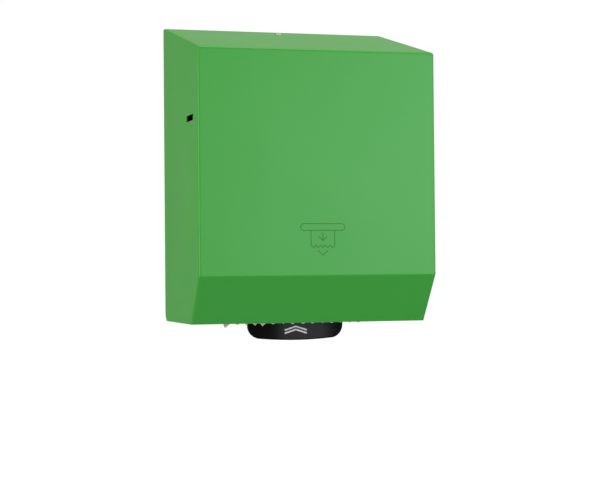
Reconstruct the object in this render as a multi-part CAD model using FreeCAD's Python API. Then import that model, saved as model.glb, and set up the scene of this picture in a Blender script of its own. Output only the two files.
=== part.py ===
import FreeCAD, Part

import math
import os

# Wall-mounted lever dispenser for a roll of paper towel.
#
# Millimetres. X runs to the right, Y runs from the room into the wall (the wall is y = 0) and Z is up.
# Heights are counted from the bottom edge of the cover; the finished solids are lowered at export, so that
# the origin is the centre of the wall-hole pattern on the back plate's rear face.
# A push on the lever turns the toothed sector, the sector turns the pinion on the feed axle, and the feed
# drum pulls the paper off the roll between itself and the sprung pressure roller, past the tear bar.

# ---------------------------------------------------------------- driving dimensions: clearances
RUN_GAP = 0.05              # radial gap of a shaft that turns in a bush
SLIDE_GAP = 0.1             # each side of a block that slides in a slot
SEAT_GAP = 0.3              # between neighbours that must not rub
SCREW_GAP = 0.2             # radial gap of a screw in its clearance hole
ROUND_END = 0.99            # share of a half width that rounds an end and leaves a short flat on it

# ---------------------------------------------------------------- cover
COVER_WIDTH = 300.0
COVER_DEPTH = 203.0         # wall to the flat front
COVER_REAR_HEIGHT = 382.0   # rear edge of the sloped top
COVER_FRONT_HEIGHT = 332.5  # front edge of the sloped top
CHAMFER_HEIGHT = 58.0       # where the flat front ends
MOUTH_DEPTH = 159.0         # wall to the foot of the chamfer
COVER_SHEET = 1.2
EDGE_BEND = 3.0             # folds between the front and the side walls
NOSE_BEND = 4.0             # folds above and below the flat front
HEM_WIDTH = 12.0
HEM_RELIEF = 4.0
HINGE_INSET = 12.0          # hinge axis from the wall and from the bottom edge
HINGE_PIN_R = 3.0
HINGE_SHOULDER_R = 6.0
HINGE_PIN_REACH = 5.0       # beyond the inner face of the hinge ear
SIGHT_LENGTH = 37.0
SIGHT_HEIGHT = 7.5
SIGHT_FRONT = 177.0         # wall to the front end of the sight slot
SIGHT_CENTRE_Z = 250.5
SIGHT_CORNER = 1.5

# ---------------------------------------------------------------- back plate
BASE_SHEET = 1.5
BASE_SIDE_GAP = 2.8         # cover's inner face to the back plate's flange
BASE_BOTTOM = 2.0
BASE_TOP = 374.0
BASE_FLANGE = 12.0
BASE_CORNER = 4.0
BASE_BEND = 2.5
EAR_R = 9.0                 # ears that carry the cover's studs
WALL_HOLE_R = 3.25
WALL_HOLE_PITCH_X = 150.0
WALL_HOLE_PITCH_Z = 180.0
WALL_HOLES_Z = 240.0        # centre of the pattern, and the origin of the finished part
BEAD_X = 45.0
BEAD_WIDTH = 16.0
BEAD_DEPTH = 2.5
BEAD_LENGTH = 200.0
STUD_R = 2.0
STUD_LENGTH = 9.0
NUT_FLATS = 7.0
NUT_HEIGHT = 3.2

# ---------------------------------------------------------------- mechanism frame
PLATE_SHEET = 2.0
PLATE_INNER_X = 106.0       # inner face of each side plate
PLATE_BOTTOM = 6.0
PLATE_TOP = 116.0
PLATE_REACH = 155.0         # wall to the front edge of the side plates
PLATE_SHOULDER = 140.0      # wall to where the top edge starts to fall
PLATE_SHOULDER_DROP = 20.0
PLATE_TOE = 139.0           # wall to where the bottom edge starts to rise
PLATE_TOE_RISE = 22.0
PLATE_CORNER = 10.0
WINDOW_REAR = 22.0          # wall to the rear edge of the window in each side plate
WINDOW_TOP_FRONT = 34.0     # wall to its front edge at the top
WINDOW_FRONT = 66.0         # wall to its front edge at the bottom
WINDOW_MARGIN = 16.0        # above and below the window
WINDOW_CORNER = 6.0
FOOT_WIDTH = 20.0
FOOT_STUD_MARGIN = 14.0     # studs from the ends of a foot
MEMBER_SHEET = 1.5
MEMBER_BEND = 1.0
REAR_MEMBER_Y = -52.0       # front face of the rear cross member
REAR_MEMBER_DEPTH = 14.0
REAR_MEMBER_BOTTOM = 80.0
REAR_MEMBER_TOP = 100.0
SCREW_R = 2.0
SCREW_HEAD_R = 3.6
SCREW_HEAD = 2.2
SCREW_HEAD_EDGE = 0.8
CROSS_LENGTH = 4.0          # cross recess in a screw's head, over both arms
CROSS_WIDTH = 0.9
CROSS_DEPTH = 1.2
SCREW_REACH = 6.0           # beyond the inner face of the side plate

# ---------------------------------------------------------------- gears
MODULE = 1.5
PINION_TEETH = 12
SECTOR_TEETH = 72           # teeth of the full wheel that the sector is cut from
PRESSURE_ANGLE = 20.0
ADDENDUM = 1.0              # in modules
DEDENDUM = 1.25             # in modules
PROFILE_SHIFT = 0.5         # outward on the pinion, inward on the sector
TIP_TRIM = 0.17             # taken off the pinion's tips, in modules
BACKLASH = 0.16             # along the pitch circle
MESH_ANGLE = 30.0           # from the pinion's axis up to the lever's axis, from level
GEAR_GAP_SHARE = 0.086      # of the space beside the frame: side plate's outer face to the pinion's teeth
PINION_SHARE = 0.245        # of that space: the pinion's width
SECTOR_SHARE = 0.196        # of that space: the sector's width
KNOB_GAP_SHARE = 0.074      # of that space: gear cover to the hand knob
KNOB_SHARE = 0.318          # of that space: the hand knob's width
CLIP_ROOM = 2.0             # clip to the inside of the gear cover
LEVER_TRAVEL = 30.0         # degrees

# ---------------------------------------------------------------- feed drum and pressure roller
FEED_Y = -136.0
FEED_Z = 50.0
DRUM_R = 18.0
GRIP_R = 20.0
DRUM_HALF = 98.0
GRIP_BANDS = 5
GRIP_BAND_WIDTH = 24.0
GRIP_BAND_PITCH = 40.0
DRUM_POCKET_DEPTH = 18.0
DRUM_WALL = 2.5
DRUM_HUB_WALL = 3.0
AXLE_R = 4.0
PRESSURE_R = 10.0
PRESSURE_EDGE = 1.0
PRESSURE_AXLE_R = 3.0
BLOCK_DEPTH = 16.0          # along the slide
BLOCK_HEIGHT = 12.0
BLOCK_LIP = 3.0             # flanges of the block above and below the slot
BLOCK_LIP_THICKNESS = 2.4
PRESSURE_TRAVEL = 3.0       # how far the blocks can slide back
PRESSURE_SPRING_R = 3.5
PRESSURE_SPRING_SOLID = 10.0    # length of the spring with its turns closed
PRESSURE_WIRE = 1.0
BUSH_WALL = 2.0
BUSH_FLANGE_R = 9.0
BUSH_FLANGE = 1.5
CLUTCH_R = 11.0
CLUTCH_WIDTH = 9.0
CLUTCH_LUG = 3.0            # thickness of the clutch body's lug
KNOB_R = 15.0
KNOB_FLUTES = 12
KNOB_FLUTE_R = 2.2
KNOB_EDGE = 1.5
CLIP_R = 7.0
CLIP_THICKNESS = 1.0
CLIP_GROOVE = 0.8
CLIP_MOUTH = 2.6            # half width of the clip's open side

# ---------------------------------------------------------------- paper
ROLL_WIDTH = 200.0
ROLL_FRONT_GAP = 8.8        # full roll to the inside of the flat front
ROLL_REAR_GAP = 13.0        # full roll to the wall
ROLL_EDGE = 1.5
CORE_R = 21.0
CORE_WALL = 2.0
ROLL_Z = 250.5
WEB_THICKNESS = 0.3
WEB_END_Z = 0.0             # roots of the torn edge

# ---------------------------------------------------------------- tear bar and guide
TEAR_GAP = 2.5              # paper to the tear bar
TEAR_THICKNESS = 1.2
TEAR_BOTTOM = 3.0
TEAR_HEIGHT = 15.0
TEAR_PITCH = 12.5           # one tooth of the blade, and of the edge that it tears
TEAR_TOOTH = 4.0            # depth of a tooth
TEAR_OVERHANG = 2.0         # beyond each edge of the paper
TEAR_RIVETS = 3
RIVET_R = 1.6
RIVET_EDGE = 0.5
CARRIER_TOP = 23.0
CARRIER_BOTTOM = 7.0
CARRIER_DEPTH = 28.0
CARRIER_LIP_RISE = 4.5      # the front lip stays this much higher than the rear wall
GUIDE_GAP = 2.0             # paper to the guide behind it
GUIDE_SHEET = 2.0
GUIDE_TOP = 37.0
GUIDE_SHELF = 9.0

# ---------------------------------------------------------------- push lever
PADDLE_WIDTH = 126.0
PADDLE_FRONT = 99.0         # wall to the crown of the paddle's face
PADDLE_BOTTOM = -24.0
PADDLE_TOP = 38.0
PADDLE_CROWN = 6.0          # how far the face falls back at its ends
PADDLE_WALL = 4.0
PADDLE_SAG = 2.0            # how far the lower edge bellies down
PADDLE_CORNER = 17.0
PADDLE_EDGE = 1.5
RIB_COUNT = 5
RIB_WALL = 2.5
RIB_DEPTH = 9.0
RIB_TOP_CORNER = 3.0
RIB_FOOT_CORNER = 6.0
ARM_X = 57.0                # centre of each lever arm
ARM_WIDTH = 12.0
ARM_FRONT = 88.0            # wall to the front of the arms, above the paddle
ARM_BACK = 76.5             # wall to the back of the arms
ARM_CORNER = 4.0
BOSS_R = 9.0
BOSS_WIDTH = 18.0
SHAFT_R = 4.0
PIN_R = 1.5
RETURN_COIL_R = 7.0
RETURN_COIL_WIDTH = 12.0
RETURN_WIRE = 1.6

# ---------------------------------------------------------------- toothed sector, stops and gear cover
SECTOR_BEFORE = 12.0        # degrees of sector ahead of the mesh at rest
SECTOR_AFTER = 12.0         # degrees of sector left behind the mesh at full push
SECTOR_HUB_R = 12.0
SECTOR_RIM = 8.0
SECTOR_SPOKE = 7.0
STOP_DISTANCE = 48.0        # lever axis to the stop posts
STOP_POST_R = 3.0
STOP_SLEEVE_R = 5.0
GEAR_COVER_WALL = 2.0
GEAR_COVER_GAP = 3.0
LUG_R = 5.5
LUG_OFFSET = 4.1            # centre of a lug beyond the cover's outline
LUG_ANGLES = (180.0, 262.0, 25.0)

# ---------------------------------------------------------------- roll arms
ARM_SHEET = 2.0
ARM_ROLL_GAP = 3.5          # roll's end face to the arm
ARM_PIVOT_Y = -12.0
ARM_REAR_HEIGHT = 44.0
ARM_HEAD_R = 23.0
KNUCKLE_R = 5.0
ARM_PIN_R = 2.5
ARM_SPRING_SPAN = 18.0
ARM_SPRING_RELIEF = 7.0     # depth of the notch round the spring, from the pivot
ARM_WINDOW_LENGTH = 28.0
ARM_WINDOW_HEIGHT = 18.0
ARM_WINDOW_CORNER = 5.0
ARM_PIN_HEAD = 1.5
BRACKET_SHEET = 2.0
BRACKET_REACH = 19.0
BRACKET_WIDTH = 16.0
BRACKET_TAB = 14.0
HUB_FLANGE = 3.0
HUB_INSERT = 16.0
HUB_NOSE_R = 13.0
HUB_WALL = 2.0
HUB_LEAD = 2.0              # chamfer that leads the nose into the core
HUB_STUB_R = 5.0
HUB_HEAD = 1.5              # closed head of the stub, outside the arm
HUB_HEAD_LIP = 2.0

# ---------------------------------------------------------------- lock
LOCK_Y = -24.0
LOCK_BODY_R = 4.5
LOCK_HEAD_R = 5.5
LOCK_HEAD = 1.0
LOCK_PLUG_R = 3.2
KEY_WIDTH = 1.1
KEY_HEIGHT = 4.5
LOCK_LENGTH = 16.0
LOCK_NUT_FLATS = 13.0
LOCK_NUT_HEIGHT = 3.0
CAM_REACH = 14.0
CAM_THICKNESS = 2.0
CAM_HUB_R = 6.0
CAM_TIP_R = 4.0
CAM_SCREW_R = 1.5
STRIKE_SHEET = 1.6
STRIKE_HEIGHT = 14.0
STRIKE_HOOK = 8.0           # inner end of the hook from the lock's axis
STRIKE_SIDE_GAP = 3.0       # turned cam's tip to the side of the strike

# ---------------------------------------------------------------- places worked out from the above
TOP_SLOPE = math.atan2(COVER_REAR_HEIGHT - COVER_FRONT_HEIGHT, COVER_DEPTH)
COVER_INNER_X = COVER_WIDTH / 2 - COVER_SHEET
ROLL_R = (COVER_DEPTH - COVER_SHEET - ROLL_FRONT_GAP - ROLL_REAR_GAP) / 2
ROLL_Y = -ROLL_REAR_GAP - ROLL_R
BASE_HALF = COVER_INNER_X - BASE_SIDE_GAP
HINGE_Y = -HINGE_INSET
HINGE_Z = HINGE_INSET
PITCH_SECTOR = MODULE * SECTOR_TEETH / 2
PITCH_PINION = MODULE * PINION_TEETH / 2
GEAR_DISTANCE = PITCH_SECTOR + PITCH_PINION
LEVER_Y = FEED_Y + GEAR_DISTANCE * math.cos(math.radians(MESH_ANGLE))
LEVER_Z = FEED_Z + GEAR_DISTANCE * math.sin(math.radians(MESH_ANGLE))
MESH_AT_SECTOR = 180.0 + MESH_ANGLE
SECTOR_START = MESH_AT_SECTOR - LEVER_TRAVEL - SECTOR_AFTER
SECTOR_END = MESH_AT_SECTOR + SECTOR_BEFORE
PLATE_OUTER_X = PLATE_INNER_X + PLATE_SHEET
DRIVE_SPACE = COVER_INNER_X - PLATE_OUTER_X
PINION_WIDTH = PINION_SHARE * DRIVE_SPACE
SECTOR_WIDTH = SECTOR_SHARE * DRIVE_SPACE
KNOB_WIDTH = KNOB_SHARE * DRIVE_SPACE
WEB_FRONT_Y = FEED_Y + GRIP_R + SEAT_GAP
WEB_BACK_Y = WEB_FRONT_Y + WEB_THICKNESS
PRESSURE_Y = WEB_BACK_Y + SEAT_GAP + PRESSURE_R
PRESSURE_Z = FEED_Z
TEAR_BACK_Y = WEB_FRONT_Y - TEAR_GAP
CARRIER_BACK_Y = TEAR_BACK_Y - TEAR_THICKNESS
GUIDE_FRONT_Y = WEB_BACK_Y + GUIDE_GAP
PINION_X = PLATE_OUTER_X + GEAR_GAP_SHARE * DRIVE_SPACE
SECTOR_X = PINION_X + (PINION_WIDTH - SECTOR_WIDTH) / 2
GEAR_COVER_INNER_X = PINION_X + PINION_WIDTH + CLIP_THICKNESS + CLIP_ROOM
GEAR_COVER_OUTER_X = GEAR_COVER_INNER_X + GEAR_COVER_WALL
GEAR_COVER_R = PITCH_SECTOR + MODULE + GEAR_COVER_GAP + GEAR_COVER_WALL
KNOB_X = GEAR_COVER_OUTER_X + KNOB_GAP_SHARE * DRIVE_SPACE
ARM_INNER_X = ROLL_WIDTH / 2 + ARM_ROLL_GAP
ARM_PIVOT_X = ARM_INNER_X + KNUCKLE_R
CORE_BORE_R = CORE_R - CORE_WALL
HUB_BASE_R = CORE_BORE_R - SEAT_GAP
PRESSURE_SPRING_LENGTH = PRESSURE_SPRING_SOLID + PRESSURE_TRAVEL
SLOT_FRONT_Y = PRESSURE_Y - BLOCK_DEPTH / 2 - SLIDE_GAP
BLOCK_BACK_Y = PRESSURE_Y + BLOCK_DEPTH / 2
SLOT_BACK_Y = BLOCK_BACK_Y + PRESSURE_SPRING_LENGTH + SLIDE_GAP


# ---------------------------------------------------------------- drawing helpers
def vec(x, y, z):
    return FreeCAD.Vector(x, y, z)


def box(x0, x1, y0, y1, z0, z1):
    """Block between two opposite corners, given in any order."""
    low = vec(min(x0, x1), min(y0, y1), min(z0, z1))
    return Part.makeBox(abs(x1 - x0), abs(y1 - y0), abs(z1 - z0), low)


def rod_x(r, x0, x1, y, z):
    return Part.makeCylinder(r, abs(x1 - x0), vec(min(x0, x1), y, z), vec(1, 0, 0))


def rod_y(r, x, y0, y1, z):
    return Part.makeCylinder(r, abs(y1 - y0), vec(x, min(y0, y1), z), vec(0, 1, 0))


def rod_z(r, x, y, z0, z1):
    return Part.makeCylinder(r, abs(z1 - z0), vec(x, y, min(z0, z1)), vec(0, 0, 1))


def ring_x(outer, inner, x0, x1, y, z):
    return rod_x(outer, x0, x1, y, z).cut(rod_x(inner, x0, x1, y, z))


def fuse(first, *others):
    """One solid from pieces that touch or overlap."""
    return first.multiFuse(list(others)).removeSplitter()


def group(solids):
    """Several separate solids in one node."""
    return Part.makeCompound(list(solids))


def mirror(shape):
    """The same piece on the other side of the middle plane x = 0."""
    return shape.mirror(vec(0, 0, 0), vec(1, 0, 0))


def on_plane(plane, u, w, offset=0.0):
    """Point (u, w) of a drawing in plane "yz", "xz" or "xy", at an offset along its normal."""
    if plane == "yz":
        return vec(offset, u, w)
    if plane == "xz":
        return vec(u, offset, w)
    return vec(u, w, offset)


def outline(plane, corners, offset=0.0):
    """Closed wire through (u, w, radius) corners, each rounded by its radius where that is not 0."""
    stations = []
    for i, (u, w, radius) in enumerate(corners):
        here = vec(u, w, 0)
        before = vec(*corners[i - 1][:2], 0) - here
        after = vec(*corners[(i + 1) % len(corners)][:2], 0) - here
        if radius <= 0:
            stations.append((here, here, here))
            continue
        before.normalize()
        after.normalize()
        half = before.getAngle(after) / 2
        middle = before + after
        middle.normalize()
        setback = radius / math.tan(half)
        depth = radius / math.sin(half) - radius
        stations.append((here + before * setback, here + middle * depth, here + after * setback))
    edges = []
    for i, (start, mid, end) in enumerate(stations):
        following = stations[(i + 1) % len(stations)][0]
        a, b, c, d = (on_plane(plane, p.x, p.y, offset) for p in (start, mid, end, following))
        if a.distanceToPoint(c) > 1e-6:
            edges.append(Part.Arc(a, b, c).toShape())
        if c.distanceToPoint(d) > 1e-6:
            edges.append(Part.LineSegment(c, d).toShape())
    return Part.Wire(edges)


def plate(plane, corners, offset, thickness):
    """Flat plate of a rounded outline, from offset to offset + thickness along the plane's normal."""
    normal = {"yz": vec(1, 0, 0), "xz": vec(0, 1, 0), "xy": vec(0, 0, 1)}[plane]
    return Part.Face(outline(plane, corners, offset)).extrude(normal * thickness)


def folded_strip(plane, line, sheet, bend, offset, width):
    """Sheet folded along a line of (u, w) points: the sheet lies to the left of the line's direction."""
    points = [vec(u, w, 0) for u, w in line]
    left_side = []
    for i, here in enumerate(points):
        normals = []
        for a, b in ((i - 1, i), (i, i + 1)):
            if 0 <= a and b < len(points):
                along = points[b] - points[a]
                along.normalize()
                normals.append(vec(-along.y, along.x, 0))
        mean = normals[0] + normals[-1]
        left_side.append(here + mean * (2 * sheet / mean.dot(mean)))
    corners_right = []
    corners_left = []
    for i, (near, far) in enumerate(zip(points, left_side)):
        turn = 0.0
        if 0 < i < len(points) - 1:
            turn = (points[i] - points[i - 1]).cross(points[i + 1] - points[i]).z
        inner_right = bend + sheet if turn > 0 else bend
        inner_left = bend if turn > 0 else bend + sheet
        corners_right.append((near.x, near.y, inner_right if turn else 0.0))
        corners_left.append((far.x, far.y, inner_left if turn else 0.0))
    return plate(plane, corners_right + corners_left[::-1], offset, width)


def polar(centre_y, centre_z, r, degrees):
    """(y, z) at a radius and an angle counted from +Y towards +Z."""
    a = math.radians(degrees)
    return centre_y + r * math.cos(a), centre_z + r * math.sin(a)


def wedge_x(y, z, r, start, end, x0, x1):
    """Slice of a disc about an X axis, between two angles less than 180 degrees apart."""
    a = vec(x0, *polar(y, z, r, start))
    b = vec(x0, *polar(y, z, r, (start + end) / 2))
    c = vec(x0, *polar(y, z, r, end))
    centre = vec(x0, y, z)
    edges = [Part.LineSegment(centre, a).toShape(), Part.Arc(a, b, c).toShape(),
             Part.LineSegment(c, centre).toShape()]
    return Part.Face(Part.Wire(edges)).extrude(vec(x1 - x0, 0, 0))


def hexagon(flats, height):
    """Hexagonal prism on the origin, along +Z."""
    corner = flats / math.sqrt(3)
    points = [vec(corner * math.cos(math.radians(60 * k)), corner * math.sin(math.radians(60 * k)), 0)
              for k in range(7)]
    return Part.Face(Part.makePolygon(points)).extrude(vec(0, 0, height))


def fillet_where(shape, radius, wanted):
    """Round the edges for which wanted(edge) is true."""
    return shape.makeFillet(radius, [edge for edge in shape.Edges if wanted(edge)])


def chamfer_where(shape, size, wanted):
    """Bevel the edges for which wanted(edge) is true."""
    return shape.makeChamfer(size, [edge for edge in shape.Edges if wanted(edge)])


def faces_where(shape, wanted):
    return [face for face in shape.Faces if wanted(face)]


def zigzag(x0, x1, pitch, root_z, tip_z):
    """(x, z) points of a row of pointed teeth from x0 to x1, about pitch wide."""
    count = max(1, round((x1 - x0) / pitch))
    step = (x1 - x0) / count
    points = []
    for k in range(count):
        points += [(x0 + k * step, root_z), (x0 + (k + 0.5) * step, tip_z)]
    return points + [(x1, root_z)]


# ---------------------------------------------------------------- cover and its hinge
def cover_shell():
    """Folded and welded cover, open to the wall and below, with a hem along the foot of the chamfer."""
    half = COVER_WIDTH / 2
    corners = [(0, 0, HINGE_INSET), (0, COVER_REAR_HEIGHT, 0), (-COVER_DEPTH, COVER_FRONT_HEIGHT, NOSE_BEND),
               (-COVER_DEPTH, CHAMFER_HEIGHT, NOSE_BEND), (-MOUTH_DEPTH, 0, 0)]
    block = plate("yz", corners, -half, COVER_WIDTH)

    def is_side_fold(edge):
        ends = [v.Point for v in edge.Vertexes]
        on_side = all(abs(abs(p.x) - half) < 1e-6 for p in ends)
        on_rear = all(p.y > -HINGE_INSET - 1e-6 for p in ends)
        on_mouth = all(p.z < 1e-6 for p in ends)
        return on_side and not on_rear and not on_mouth and abs(ends[0].x - ends[-1].x) < 1e-6

    block = fillet_where(block, EDGE_BEND, is_side_fold)
    open_faces = faces_where(block, lambda f: (f.CenterOfMass.y > -HINGE_INSET
                                               or (f.CenterOfMass.z < 1e-6)))
    open_faces = [f for f in open_faces if abs(f.CenterOfMass.x) < half / 2]
    shell = block.makeThickness(open_faces, -COVER_SHEET, 1e-4)
    hem_half = COVER_INNER_X - HEM_RELIEF
    hem = box(-hem_half, hem_half, -MOUTH_DEPTH, -MOUTH_DEPTH + HEM_WIDTH, 0, COVER_SHEET)
    shell = fuse(shell, hem)
    slot = [(-SIGHT_FRONT, SIGHT_CENTRE_Z - SIGHT_HEIGHT / 2, SIGHT_CORNER),
            (-SIGHT_FRONT + SIGHT_LENGTH, SIGHT_CENTRE_Z - SIGHT_HEIGHT / 2, SIGHT_CORNER),
            (-SIGHT_FRONT + SIGHT_LENGTH, SIGHT_CENTRE_Z + SIGHT_HEIGHT / 2, SIGHT_CORNER),
            (-SIGHT_FRONT, SIGHT_CENTRE_Z + SIGHT_HEIGHT / 2, SIGHT_CORNER)]
    shell = shell.cut(plate("yz", slot, -COVER_WIDTH, 2 * COVER_WIDTH))
    keyhole = Part.makeCylinder(LOCK_BODY_R + SLIDE_GAP, 4 * COVER_SHEET, vec(0, 0, -2 * COVER_SHEET))
    return shell.cut(on_lock_axis(keyhole))


def cover_hinge_studs():
    """Shouldered studs welded inside the side walls; they turn in the ears of the back plate."""
    shoulder_end = BASE_HALF + SEAT_GAP
    pin_end = BASE_HALF - BASE_SHEET - HINGE_PIN_REACH
    shoulder = rod_x(HINGE_SHOULDER_R, shoulder_end, COVER_INNER_X, HINGE_Y, HINGE_Z)
    pin = rod_x(HINGE_PIN_R, pin_end, shoulder_end, HINGE_Y, HINGE_Z)
    pin = chamfer_where(pin, HINGE_PIN_R / 4, lambda e: abs(e.BoundBox.XMax - pin_end) < 1e-6)
    stud = fuse(shoulder, pin)
    return group([stud, mirror(stud)])


# ---------------------------------------------------------------- lock
def on_lock_axis(shape):
    """Move a piece drawn about +Z at the origin to the lock's axis, square to the sloped top."""
    height = COVER_REAR_HEIGHT + LOCK_Y * math.tan(TOP_SLOPE)
    tilt = FreeCAD.Rotation(vec(1, 0, 0), math.degrees(TOP_SLOPE))
    lock_axis = FreeCAD.Placement(vec(0, LOCK_Y, height), tilt)
    placed = shape.copy()
    placed.Placement = lock_axis.multiply(shape.Placement)
    return placed


def lock_barrel():
    """Fixed barrel with a thin round head on the outside of the sloped top."""
    head = Part.makeCylinder(LOCK_HEAD_R, LOCK_HEAD)
    head = chamfer_where(head, LOCK_HEAD / 2, lambda e: abs(e.BoundBox.ZMin - LOCK_HEAD) < 1e-6)
    body = Part.makeCylinder(LOCK_BODY_R, LOCK_LENGTH, vec(0, 0, -LOCK_LENGTH))
    bore = Part.makeCylinder(LOCK_PLUG_R + RUN_GAP, 2 * LOCK_LENGTH, vec(0, 0, -1.5 * LOCK_LENGTH))
    return on_lock_axis(fuse(head, body).cut(bore))


def lock_nut():
    """Hexagonal nut that clamps the barrel to the sheet."""
    nut = hexagon(LOCK_NUT_FLATS, LOCK_NUT_HEIGHT)
    nut = nut.cut(Part.makeCylinder(LOCK_BODY_R, LOCK_NUT_HEIGHT))
    nut.translate(vec(0, 0, -COVER_SHEET - LOCK_NUT_HEIGHT))
    return on_lock_axis(nut)


def lock_plug():
    """Turning plug with the key slot, and the square tail that carries the cam."""
    tail = CAM_THICKNESS + SLIDE_GAP
    plug = Part.makeCylinder(LOCK_PLUG_R, LOCK_LENGTH + LOCK_HEAD, vec(0, 0, -LOCK_LENGTH))
    square = LOCK_PLUG_R
    stem = box(-square / 2, square / 2, -square / 2, square / 2, -LOCK_LENGTH - tail, -LOCK_LENGTH)
    key_slot = box(-KEY_WIDTH / 2, KEY_WIDTH / 2, -KEY_HEIGHT / 2, KEY_HEIGHT / 2,
                   -LOCK_LENGTH / 2, LOCK_HEAD)
    thread = Part.makeCylinder(CAM_SCREW_R / 2, LOCK_PLUG_R * 1.5, vec(0, 0, -LOCK_LENGTH - tail))
    return on_lock_axis(fuse(plug, stem).cut(key_slot).cut(thread))


def cam_top():
    return -LOCK_LENGTH - SLIDE_GAP


def lock_cam():
    """Tongue on the plug's tail; at rest it points at the wall, clear of the strike."""
    low = cam_top() - CAM_THICKNESS
    hub = Part.makeCylinder(CAM_HUB_R, CAM_THICKNESS, vec(0, 0, low))
    tip_y = CAM_REACH - CAM_TIP_R
    tip = Part.makeCylinder(CAM_TIP_R, CAM_THICKNESS, vec(0, tip_y, low))
    tongue = box(-CAM_TIP_R, CAM_TIP_R, 0, tip_y, low, low + CAM_THICKNESS)
    square = LOCK_PLUG_R + SLIDE_GAP
    window = box(-square / 2, square / 2, -square / 2, square / 2, low, low + CAM_THICKNESS)
    return on_lock_axis(fuse(hub, tip, tongue).cut(window))


def lock_cam_screw():
    """Screw that holds the cam on the tail."""
    low = cam_top() - CAM_THICKNESS
    head = Part.makeCylinder(2 * CAM_SCREW_R, CAM_SCREW_R, vec(0, 0, low - CAM_SCREW_R))
    head = chamfer_where(head, CAM_SCREW_R / 2, lambda e: e.BoundBox.ZMax < low - CAM_SCREW_R + 1e-6)
    shank = Part.makeCylinder(CAM_SCREW_R / 2, LOCK_PLUG_R, vec(0, 0, low))
    return on_lock_axis(fuse(head, shank))


def strike_places():
    """Side plate position, hook depth and heights of the strike, set by where the cam turns."""
    reach = -cam_top() + CAM_THICKNESS / 2
    cam_y = LOCK_Y + reach * math.sin(TOP_SLOPE)
    cam_z = COVER_REAR_HEIGHT + LOCK_Y * math.tan(TOP_SLOPE) - reach * math.cos(TOP_SLOPE)
    hook_back = cam_y - CAM_HUB_R
    side_x = CAM_REACH + STRIKE_SIDE_GAP
    return side_x, hook_back, cam_z


def lock_strike():
    """Folded hook on the back plate; the turned cam stands behind it and keeps the cover shut."""
    side_x, hook_back, cam_z = strike_places()
    line = [(side_x + STRIKE_SHEET + BRACKET_TAB, -BASE_SHEET), (side_x, -BASE_SHEET),
            (side_x, hook_back - STRIKE_SHEET), (STRIKE_HOOK, hook_back - STRIKE_SHEET)]
    strip = folded_strip("xy", line, STRIKE_SHEET, MEMBER_BEND / 2, cam_z - STRIKE_HEIGHT / 2, STRIKE_HEIGHT)
    return strip.cut(stud_hole(*strike_stud_place()))


# ---------------------------------------------------------------- back plate, weld studs and nuts
def stud_hole(x, z):
    """Clearance hole for a weld stud."""
    return rod_y(STUD_R + SCREW_GAP, x, -BASE_FLANGE, 0, z)


def strike_stud_place():
    side_x, _, cam_z = strike_places()
    return side_x + STRIKE_SHEET + BRACKET_TAB / 2, cam_z


def foot_stud_places():
    x = PLATE_OUTER_X + FOOT_WIDTH / 2
    return [(x, PLATE_BOTTOM + FOOT_STUD_MARGIN), (x, PLATE_TOP - FOOT_STUD_MARGIN)]


def bracket_stud_places():
    reach = ARM_REAR_HEIGHT / 2 + SEAT_GAP + BRACKET_SHEET + BRACKET_TAB / 2
    return [(ARM_PIVOT_X, ROLL_Z - reach), (ARM_PIVOT_X, ROLL_Z + reach)]


def stud_places():
    """(x, z, thickness of the sheet under the nut) of every weld stud."""
    right = [(x, z, PLATE_SHEET) for x, z in foot_stud_places()]
    right += [(x, z, BRACKET_SHEET) for x, z in bracket_stud_places()]
    left = [(-x, z, sheet) for x, z, sheet in right]
    return right + left + [(*strike_stud_place(), STRIKE_SHEET)]


def back_plate():
    """Folded tray with wall holes, pressed beads, weld studs and the ears that the cover hinges on."""
    tray = box(-BASE_HALF, BASE_HALF, -BASE_FLANGE, 0, BASE_BOTTOM, BASE_TOP)
    tray = fillet_where(tray, BASE_CORNER, lambda e: e.BoundBox.YLength > BASE_FLANGE - 1e-6)
    tray = fillet_where(tray, BASE_BEND, lambda e: e.BoundBox.YMin > -1e-6)
    front = faces_where(tray, lambda f: f.BoundBox.YMax < -BASE_FLANGE + 1e-6)
    tray = tray.makeThickness(front, -BASE_SHEET, 1e-4)
    ear_corners = [(-BASE_FLANGE / 2, HINGE_Z - EAR_R, 0), (-BASE_FLANGE / 2, HINGE_Z + EAR_R, 0),
                   (HINGE_Y - EAR_R, HINGE_Z + EAR_R, EAR_R * ROUND_END),
                   (HINGE_Y - EAR_R, HINGE_Z - EAR_R, EAR_R * ROUND_END)]
    ear = plate("yz", ear_corners, BASE_HALF - BASE_SHEET, BASE_SHEET)
    bead_corners = [(BEAD_X - BEAD_WIDTH / 2, 0, 0), (BEAD_X + BEAD_WIDTH / 2, 0, 0),
                    (BEAD_X + BEAD_WIDTH / 4, -BEAD_DEPTH, 0), (BEAD_X - BEAD_WIDTH / 4, -BEAD_DEPTH, 0)]
    bead = plate("xy", bead_corners, WALL_HOLES_Z - BEAD_LENGTH / 2, BEAD_LENGTH)
    bead_out = bead.copy()
    bead_out.translate(vec(0, -BASE_SHEET, 0))
    studs = [rod_y(STUD_R, x, -BASE_SHEET, -BASE_SHEET - STUD_LENGTH, z) for x, z, _ in stud_places()]
    solid = fuse(tray, ear, mirror(ear), bead_out, mirror(bead_out), *studs)
    solid = solid.cut(bead).cut(mirror(bead))
    solid = solid.cut(rod_x(HINGE_PIN_R + RUN_GAP, -COVER_WIDTH, COVER_WIDTH, HINGE_Y, HINGE_Z))
    for x in (-WALL_HOLE_PITCH_X / 2, WALL_HOLE_PITCH_X / 2):
        for z in (-WALL_HOLE_PITCH_Z / 2, WALL_HOLE_PITCH_Z / 2):
            solid = solid.cut(rod_y(WALL_HOLE_R, x, -BASE_FLANGE, BASE_FLANGE, WALL_HOLES_Z + z))
    return solid.removeSplitter()


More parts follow.
